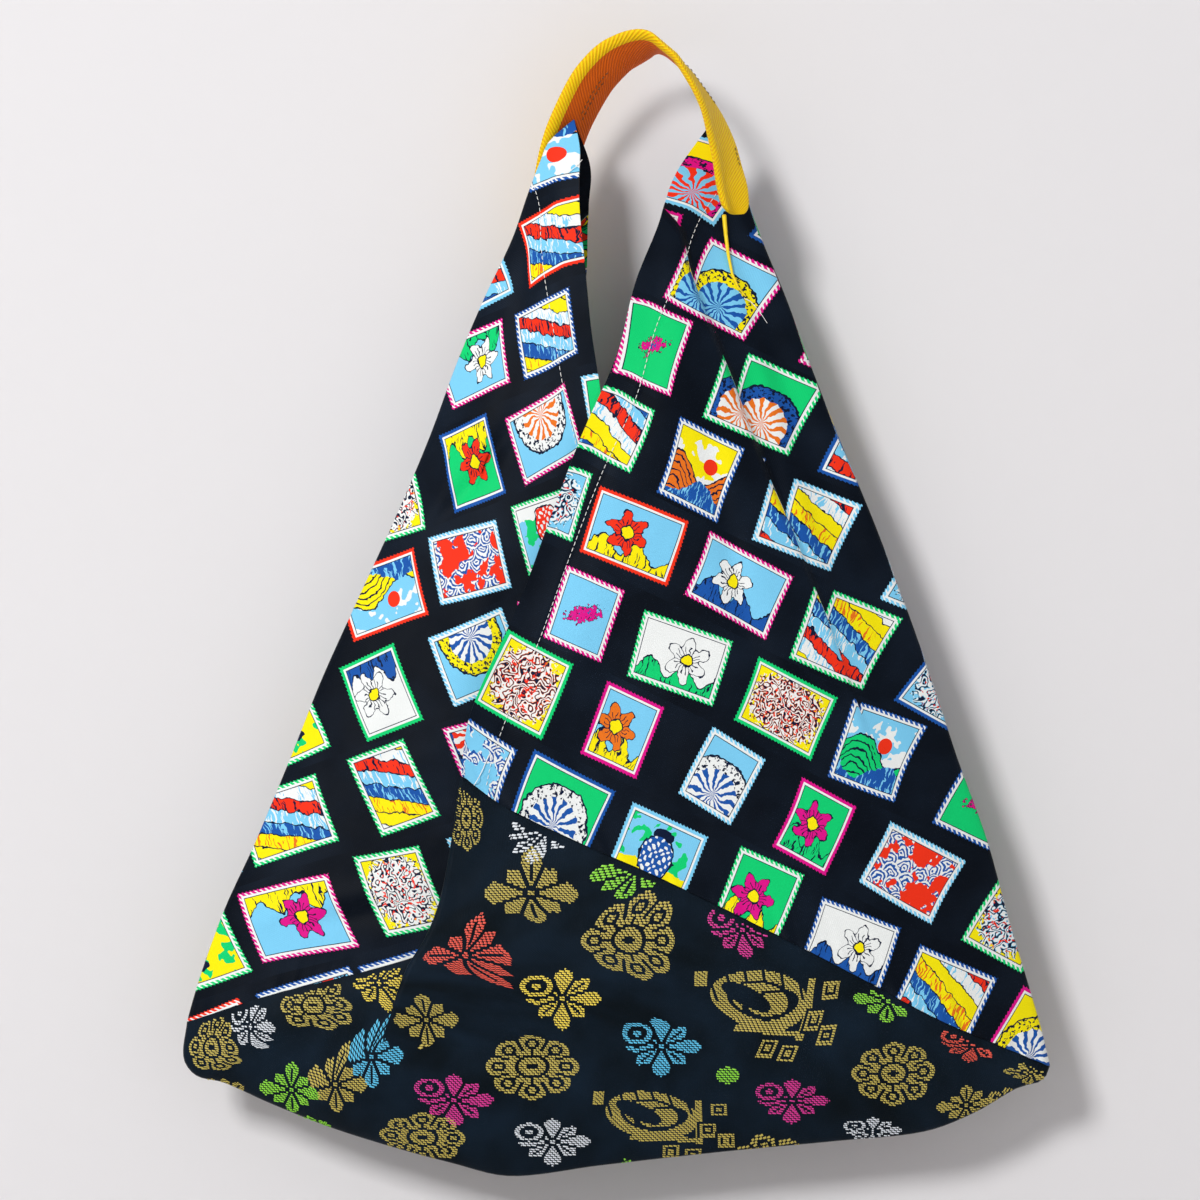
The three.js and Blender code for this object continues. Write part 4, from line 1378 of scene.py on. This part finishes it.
def woven_floats(cloth, flowers):
    """Raised weft threads of a list of (form, alpha, beta, width, height), as points and faces.
    Each row of a flower is followed closely, and a thread ends where the flower's shape does."""
    corners = [(-0.5, -0.5, 0), (0.5, -0.5, 0), (0.5, 0.5, 0), (-0.5, 0.5, 0), (-0.3, 0, 1), (0.3, 0, 1)]
    sides = [(0, 1, 5, 4), (2, 3, 4, 5), (1, 2, 5), (3, 0, 4)]
    middles, frames, lengths = [], [], []
    for form, alpha, beta, width, height in flowers:
        place = np.array([alpha, beta])
        level, upward = cloth.level_frame(alpha, beta)
        rows = int(height / FLOAT_ROWS)
        fine = np.arange(-width / 2, width / 2, FLOAT_FINE)
        for r in range(rows):
            up = (r + 0.5) / rows * 2 - 1
            inside = FORMS[form](fine * 2 / width, np.full_like(fine, up))
            changes = np.flatnonzero(np.diff(np.concatenate([[0], inside, [0]])))
            shift = FLOAT_PITCH * 0.5 * (r % 2)
            for first, last in zip(changes[::2], changes[1::2]):
                start = fine[first]
                end = start + (last - first) * FLOAT_FINE
                low = math.ceil((start + FLOAT_LEAST + shift) / FLOAT_PITCH)
                high = math.floor((end - FLOAT_LEAST + shift) / FLOAT_PITCH)
                cuts = [start, *(n * FLOAT_PITCH - shift for n in range(low, high + 1)), end]
                for begin, stop in zip(cuts, cuts[1:]):
                    if stop - begin < FLOAT_LEAST:
                        continue
                    middles.append(place + (begin + stop) / 2 * level + up * height / 2 * upward)
                    frames.append((level, upward))
                    lengths.append(stop - begin - FLOAT_GAP)
    middles = np.array(middles)
    frames = np.array(frames)
    lengths = np.array(lengths)[:, None]
    inside = (middles > 0.008).all(1) & (middles < 0.992).all(1)
    middles, frames, lengths = middles[inside], frames[inside], lengths[inside]
    points = []
    for dx, dy, rise in corners:
        upward = dy * FLOAT_WIDTH - dx * FLOAT_SLANT * lengths
        at = middles + dx * lengths * frames[:, 0] + upward * frames[:, 1]
        height = np.full(len(middles), CLOTH / 2 - 0.1 * MM + rise * FLOAT_RISE)
        points.append(cloth.lift(at[:, 0], at[:, 1], height))
    points = np.stack(points, 1).reshape(-1, 3)
    faces = []
    for k in range(len(middles)):
        faces += [tuple(6 * k + c for c in side) for side in sides]
    return points, faces


class BENTO_OT_woven_flowers(bpy.types.Operator):
    """Weave the raised flowers into the base cloth, one piece for each colour of thread."""

    bl_idname = "bento.woven_flowers"
    bl_label = "Woven Flowers"

    def execute(self, context):
        cloth = FlatCloth()
        by_colour = {}
        for form, colour, across, up, width, height in FLOWERS:
            alpha, beta = cloth.find(across * MM, up * MM)
            size = (width * MM, height * MM)
            by_colour.setdefault(colour, []).append((form, alpha, beta, *size))
            turned = (form, 1 - alpha, 1 - beta, *size)
            by_colour.setdefault(BACK_COLOURS[colour], []).append(turned)
        for colour, flowers in by_colour.items():
            points, faces = woven_floats(cloth, flowers)
            material = thread_material(f"{colour}_floats", getattr(colours_of(context), colour))
            piece = mesh_piece(f"woven_{colour}", points, faces, material)
        return {"FINISHED"}


def strap_frame(count):
    """Middle line, width way and thickness way of the strap at even stations."""
    steps = [0.0]
    for a, b in zip(STRAP, STRAP[1:]):
        steps.append(steps[-1] + math.dist(a[:3], b[:3]))
    table = [(s, *row) for s, row in zip(steps, STRAP)]
    s = np.linspace(0, steps[-1], count)
    values = read(table, s)
    order = [0, 2, 1]
    middle = values[:, order] * PANEL
    ahead = read(table, s + 0.004)[:, order] - read(table, s - 0.004)[:, order]
    ahead /= np.linalg.norm(ahead, axis=1, keepdims=True)
    across, drop = values[:, 3], values[:, 4]
    wide = np.stack([across, np.sqrt(1 - across**2 - drop**2), -drop], -1)
    wide -= ahead * np.sum(wide * ahead, 1, keepdims=True)
    wide /= np.linalg.norm(wide, axis=1, keepdims=True)
    through = np.cross(ahead, wide)
    through /= np.linalg.norm(through, axis=1, keepdims=True)
    return middle, wide, through, values[:, 5], s * PANEL


STRAP_STATIONS = 460
STRAP_ACROSS = 34


def strap_points(face, sizes, stations=STRAP_STATIONS, across=STRAP_ACROSS):
    """One face (1 outside, -1 inside) of the doubled strap, with its rolled front selvedge,
    its rounded ends, and each point's place along and across the strap."""
    middle, wide, through, pinch, along = strap_frame(stations)
    a = np.linspace(-0.5, 0.5, across)
    full = STRAP_THICKNESS * (1 + 0.9 * (1 - pinch))[:, None]
    edge = np.clip(1 - (2 * np.abs(a)) ** 5, 0, 1)[None] ** 0.55
    curl = STRAP_CUP * (4 * a * a - 0.33)[None] * (1 + 4 * (1 - pinch))[:, None]
    roll = SELVEDGE_ROLL * np.exp(-(((a + 0.5 - 0.6 * SELVEDGE) / (0.5 * SELVEDGE)) ** 2))[None]
    rib = np.sin(2 * math.pi * (along[:, None] + TWILL_SLANT * a[None] * STRAP_WIDTH) / sizes.twill_pitch)
    from_end = np.minimum(along, along[-1] - along)[:, None]
    rounded = np.sqrt(np.clip(1 - np.clip(1 - from_end / END_ROUND, 0, 1) ** 2, 0.06, 1))
    height = curl + face * (0.5 * full * edge * rounded + (roll + TWILL_RISE * rib) * edge)
    width = a[None] * STRAP_WIDTH * pinch[:, None] * (0.45 + 0.55 * rounded)
    points = middle[:, None] + wide[:, None] * width[..., None] + through[:, None] * height[..., None]
    places = np.stack(np.broadcast_arrays(along[:, None], a[None] * STRAP_WIDTH), -1)
    return points, places


class BENTO_OT_strap(bpy.types.Operator):
    """Build the doubled webbing strap with its twill ribs."""

    bl_idname = "bento.strap"
    bl_label = "Strap"

    def execute(self, context):
        colours = colours_of(context)
        outer, outer_places = strap_points(1, sizes_of(context))
        inner, inner_places = strap_points(-1, sizes_of(context))
        rows, columns = outer.shape[:2]
        count = rows * columns
        points = np.concatenate([outer.reshape(-1, 3), inner.reshape(-1, 3)])
        faces = grid_faces(rows, columns, 0, flip=True) + grid_faces(rows, columns, count)
        faces += [(a, a + count, b + count, b) for a, b in rim_of(rows, columns)]
        outside = webbing("yellow_webbing", colours.strap, STRAP_GROOVE_SHADE, sizes_of(context))
        # The strap's inside, beyond its yellow front selvedge, is painted orange as painted shade.
        inside = webbing("shaded_webbing", colours.strap_inside_shade, SHADED_GROOVE, sizes_of(context))
        piece = mesh_piece("strap", points, faces, outside)
        piece.data.materials.append(inside)
        one_face = (rows - 1) * (columns - 1)
        first_shaded = round(SELVEDGE * (columns - 1))
        for k, face in enumerate(piece.data.polygons):
            on_inside = one_face <= k < 2 * one_face
            face.material_index = int(on_inside and k % (columns - 1) >= first_shaded)
        places = np.concatenate([outer_places.reshape(-1, 2), inner_places.reshape(-1, 2)])
        lay_flat(piece, "flat_strap", places)
        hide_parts("handle")
        return {"FINISHED"}


def thread_dashes(places, normals, length, gap, thickness):
    """Short raised stitches laid end to end along a line of places."""
    steps = np.linalg.norm(np.diff(places, axis=0), axis=1)
    along = np.concatenate([[0], np.cumsum(steps)])
    points, faces = [], []
    start = gap
    while start + length < along[-1]:
        ends = []
        for s in (start, start + 0.25 * length, start + 0.75 * length, start + length):
            ends.append([np.interp(s, along, places[:, k]) for k in range(3)]
                        + [np.interp(s, along, normals[:, k]) for k in range(3)])
        ends = np.array(ends)
        way = ends[-1, :3] - ends[0, :3]
        for k, (lift, size) in enumerate(zip((-0.3, 0.5, 0.5, -0.3), (0.4, 1, 1, 0.4))):
            at, up = ends[k, :3], ends[k, 3:]
            side = np.cross(way, up)
            side /= np.linalg.norm(side)
            middle = at + up * thickness * lift
            for turn in range(6):
                angle = turn * math.pi / 3
                around = math.cos(angle) * side + math.sin(angle) * up
                points.append(middle + size * thickness / 2 * around)
        base = len(points) - 24
        faces += grid_faces(4, 6, base, closed=True)
        faces.append(tuple(base + k for k in range(5, -1, -1)))
        faces.append(tuple(base + 18 + k for k in range(6)))
        start += length + gap
    return points, faces


def stitch_line(grid, alpha, beta, distance, rows):
    """Places and normals along a cloth at a distance from its free edge."""
    normal = outward(grid)
    columns = np.linspace(0, 1, grid.shape[1])
    places, ways = [], []
    for i in rows:
        rest = alpha[i, 0] + beta[i, 0]
        w = rest if i <= grid.shape[0] // 2 else 2 - rest
        to_edge = w * (1 - columns) * PANEL
        if to_edge[0] <= distance:
            continue
        k = np.interp(-distance, -to_edge, np.arange(grid.shape[1]))
        low = int(min(k, grid.shape[1] - 2))
        places.append(mix(grid[i, low], grid[i, low + 1], k - low))
        ways.append(mix(normal[i, low], normal[i, low + 1], k - low))
    return np.array(places), np.array(ways)


def joined(parts):
    points, faces = [], []
    for some_points, some_faces in parts:
        start = len(points)
        points += list(some_points)
        faces += [tuple(k + start for k in face) for face in some_faces]
    return points, faces


class BENTO_OT_hem_stitches(bpy.types.Operator):
    """Sew the white stitches along the free edges of both printed cloths."""

    bl_idname = "bento.hem_stitches"
    bl_label = "Hem Stitches"

    def execute(self, context):
        material = thread_material("white_thread", HEM_WHITE)
        for name, is_left in (("left_hem_stitches", True), ("right_hem_stitches", False)):
            grid, alpha, beta = side_sheet(is_left)
            middle = grid.shape[0] // 2
            parts = []
            for rows, distance in ((range(middle), EAR_HEM if is_left else HEM),
                                   (range(middle + 1, grid.shape[0]), HEM)):
                places, ways = stitch_line(grid, alpha, beta, distance, rows)
                lifted = places + ways * (CLOTH / 2 + 0.1 * MM)
                parts.append(thread_dashes(lifted, ways, STITCH, STITCH_GAP, THREAD))
            points, faces = joined(parts)
            piece = mesh_piece(name, points, faces, material)
        return {"FINISHED"}


# Loose ends in millimetres: name, thickness at both ends, then the points across and up.
LOOSE_ENDS = [
    ("hem_thread", 0.7, 0.5, [(-103, -456), (-105, -460), (-107.5, -466), (-110, -471), (-113, -476)]),
    ("ear_thread", 0.5, 0.5, [(-53, -81), (-50, -78.5), (-47, -76), (-44, -72.5)]),
    ("seam_thread", 0.6, 0.4, [(61, -162), (65, -164), (70, -169), (76, -178)]),
]
STRAP_TAIL = (3.0, 0.8, [(48, -108), (49, -120), (50.5, -133), (53, -146), (57, -155), (62, -161)])


def thread_tube(places, start_size, end_size, turns=8):
    """A round thread along places, from one thickness to another, with closed ends."""
    places = np.asarray(places)
    ways = np.gradient(places, axis=0)
    ways /= np.linalg.norm(ways, axis=1, keepdims=True)
    side = np.cross(ways, (0.0, 1.0, 0.0))
    side /= np.linalg.norm(side, axis=1, keepdims=True)
    up = np.cross(side, ways)
    angle = np.arange(turns) / turns * 2 * math.pi
    half = np.linspace(start_size, end_size, len(places))[:, None, None] / 2
    ring = side[:, None] * np.cos(angle)[None, :, None] + up[:, None] * np.sin(angle)[None, :, None]
    points = places[:, None] + half * ring
    faces = grid_faces(len(places), turns, closed=True, flip=True)
    faces.append(tuple(range(turns)))
    faces.append(tuple(range(len(places) * turns - 1, (len(places) - 1) * turns - 1, -1)))
    return points.reshape(-1, 3), faces


def laid_in_front(shown, ends, rise):
    """Places of points given by across and up in millimetres, just in front of shown pieces."""
    steps = np.linspace(0, len(ends) - 1, 6 * len(ends))
    across, up = (np.interp(steps, np.arange(len(ends)), [end[k] for end in ends]) * MM for k in (0, 1))
    vertices = []
    for piece in shown:
        found = np.zeros(len(piece.data.vertices) * 3)
        piece.data.vertices.foreach_get("co", found)
        vertices.append(found.reshape(-1, 3))
    vertices = np.concatenate(vertices)
    places = []
    for x, z in zip(across, up):
        near = np.hypot(vertices[:, 0] - x, vertices[:, 2] - z) < NEAR
        front = vertices[near, 1].min() if near.any() else np.nan
        places.append((x, front - rise, z))
    places = np.array(places)
    known = np.isfinite(places[:, 1])
    places[:, 1] = np.interp(np.arange(len(places)), np.flatnonzero(known), places[known, 1])
    return places


class BENTO_OT_loose_ends(bpy.types.Operator):
    """Leave the loose ends of thread and the strap's narrow tail."""

    bl_idname = "bento.loose_ends"
    bl_label = "Loose Ends"

    def execute(self, context):
        cloths = [bpy.data.objects[name] for name in ("left_cloth", "right_cloth", "base_cloth")]
        material = thread_material("loose_thread", HEM_WHITE)
        for name, start_size, end_size, ends in LOOSE_ENDS:
            places = laid_in_front(cloths, ends, 0.4 * MM)
            points, faces = thread_tube(places, start_size * MM, end_size * MM)
            mesh_piece(name, points, faces, material)
        start_size, end_size, ends = STRAP_TAIL
        places = laid_in_front(cloths, ends, 0.6 * MM)
        points, faces = thread_tube(places, start_size * MM, end_size * MM)
        material = thread_material("yellow_thread", colours_of(context).strap)
        mesh_piece("strap_tail", points, faces, material)
        return {"FINISHED"}


# Rows of stitches on the strap: face (1 outside, -1 inside), place across from -0.5 to 0.5,
# first and last of SEAM_STATIONS.
SEAM_STATIONS = 400
SEAM_ACROSS = 101
SEAM_RISE = 0.25 * MM
STRAP_STITCH = (2.4 * MM, 1.4 * MM, 0.6 * MM)  # length, gap, thickness
STRAP_SEAMS = [
    (-1, 0.05, 118, 172),
    (-1, 0.13, 112, 160),
    (1, 0.36, 226, 292),
    (1, 0.36, 330, 352),
]


class BENTO_OT_strap_stitches(bpy.types.Operator):
    """Sew the dark stitches that double the strap."""

    bl_idname = "bento.strap_stitches"
    bl_label = "Strap Stitches"

    def execute(self, context):
        through = strap_frame(SEAM_STATIONS)[2]
        material = thread_material("brown_thread", SEAM_BROWN)
        parts = []
        for face, at, first, last in STRAP_SEAMS:
            grid = strap_points(face, sizes_of(context), SEAM_STATIONS, SEAM_ACROSS)[0]
            k = int(round((at + 0.5) * (SEAM_ACROSS - 1)))
            outward_way = face * through[first:last]
            places = grid[first:last, k] + outward_way * SEAM_RISE
            parts.append(thread_dashes(places, outward_way, *STRAP_STITCH))
        points, faces = joined(parts)
        piece = mesh_piece("strap_stitches", points, faces, material)
        return {"FINISHED"}


class BENTO_OT_declare_sheets(bpy.types.Operator):
    """Does nothing: the flat sizes of the cloths and the strap are not stated here."""

    bl_idname = "bento.declare_sheets"
    bl_label = "Declare Sheets"

    def execute(self, context):
        return {"FINISHED"}


VIEW_CENTRE = Vector((-0.0325, 0.0, -0.3575))
VIEW_WIDTH = 0.780
VIEW_DISTANCE = 3.2
SENSOR = 36.0
WORLD_STRENGTH = 0.38
WALL_AT = 0.060
FLOOR_AT = -0.80
STUDIO_PLANES = {
    "studio_wall": [(-4, WALL_AT, FLOOR_AT), (4, WALL_AT, FLOOR_AT), (4, WALL_AT, 3), (-4, WALL_AT, 3)],
    "studio_floor": [(-6, -6, FLOOR_AT), (6, -6, FLOOR_AT), (6, 6, FLOOR_AT), (-6, 6, FLOOR_AT)],
}

# Name, place, size and power.
LIGHTS = [
    ("key_light", (-2.6, -4.7, 2.1), 1.2, 232),
    ("fill_light", (1.8, -2.4, 0.2), 2.2, 4),
    ("back_light", (1.2, 2.6, 0.6), 1.6, 45),
]


class BENTO_OT_stage(bpy.types.Operator):
    """Set up the pale wall and floor, the soft lights and the camera."""

    bl_idname = "bento.stage"
    bl_label = "Stage"

    def execute(self, context):
        scene = context.scene
        scene.view_settings.view_transform = "Standard"
        paper, tree, shader = surface("painted_wall", roughness=0.95)
        shader.inputs["Base Color"].default_value = linear(WALL_GREY)
        for name, corners in STUDIO_PLANES.items():
            mesh = bpy.data.meshes.new(name)
            mesh.from_pydata(corners, [], [(0, 1, 2, 3)])
            mesh.materials.append(paper)
            plane = bpy.data.objects.new(name, mesh)
            scene.collection.objects.link(plane)
        one_sided(paper, tree, shader)

        for name, place, size, power in LIGHTS:
            light = bpy.data.lights.new(name, "AREA")
            light.size = size
            light.energy = power
            lamp = bpy.data.objects.new(name, light)
            lamp.location = place
            lamp.rotation_mode = "QUATERNION"
            lamp.rotation_quaternion = (VIEW_CENTRE - Vector(place)).to_track_quat("-Z", "Y")
            scene.collection.objects.link(lamp)

        world = bpy.data.worlds.new("studio")
        world.use_nodes = True
        world.node_tree.nodes["Background"].inputs[0].default_value = linear(SKY_WHITE)
        world.node_tree.nodes["Background"].inputs[1].default_value = WORLD_STRENGTH
        scene.world = world

        camera = bpy.data.cameras.new("camera")
        camera.sensor_width = SENSOR
        camera.lens = SENSOR * VIEW_DISTANCE / VIEW_WIDTH
        holder = bpy.data.objects.new("camera", camera)
        holder.location = VIEW_CENTRE + Vector((0, -VIEW_DISTANCE, 0))
        holder.rotation_euler = (math.pi / 2, 0, 0)
        scene.collection.objects.link(holder)
        scene.camera = holder
        return {"FINISHED"}


def one_sided(material, tree, shader):
    """The wall is seen from the bag's front only, so that it doesn't hide the bag's back."""
    facing = add(tree, "NewGeometry")
    clear = add(tree, "BsdfTransparent")
    blend = add(tree, "MixShader", facing.outputs["Backfacing"], shader.outputs[0], clear)
    output = tree.nodes["Material Output"]
    tree.links.new(blend.outputs[0], output.inputs["Surface"])


class BENTO_PT_sidebar(bpy.types.Panel):
    """Shows the bag's sizes and colours, and a button for each step that builds it."""

    bl_label = "Bento Bag"
    bl_idname = "BENTO_PT_sidebar"
    bl_space_type = "VIEW_3D"
    bl_region_type = "UI"
    bl_category = "Bento Bag"

    def draw(self, context):
        for group in (context.scene.bento_bag_sizes, context.scene.bento_bag_colours):
            for key in type(group).__annotations__:
                self.layout.prop(group, key)
        for operator in OPERATORS:
            self.layout.operator(operator.bl_idname)


OPERATORS = (
    BENTO_OT_left_cloth,
    BENTO_OT_base_cloth,
    BENTO_OT_right_cloth,
    BENTO_OT_woven_flowers,
    BENTO_OT_strap,
    BENTO_OT_hem_stitches,
    BENTO_OT_strap_stitches,
    BENTO_OT_loose_ends,
    BENTO_OT_declare_sheets,
    BENTO_OT_stage,
)
CLASSES = (BagSizes, BagColours, *OPERATORS, BENTO_PT_sidebar)


def register():
    for cls in CLASSES:
        bpy.utils.register_class(cls)
    bpy.types.Scene.bento_bag_sizes = bpy.props.PointerProperty(type=BagSizes)
    bpy.types.Scene.bento_bag_colours = bpy.props.PointerProperty(type=BagColours)


def unregister():
    del bpy.types.Scene.bento_bag_sizes
    del bpy.types.Scene.bento_bag_colours
    for cls in reversed(CLASSES):
        bpy.utils.unregister_class(cls)


def main():
    register()
    for operator in OPERATORS:
        group, name = operator.bl_idname.split(".")
        getattr(getattr(bpy.ops, group), name)()


if __name__ == "__main__":
    main()
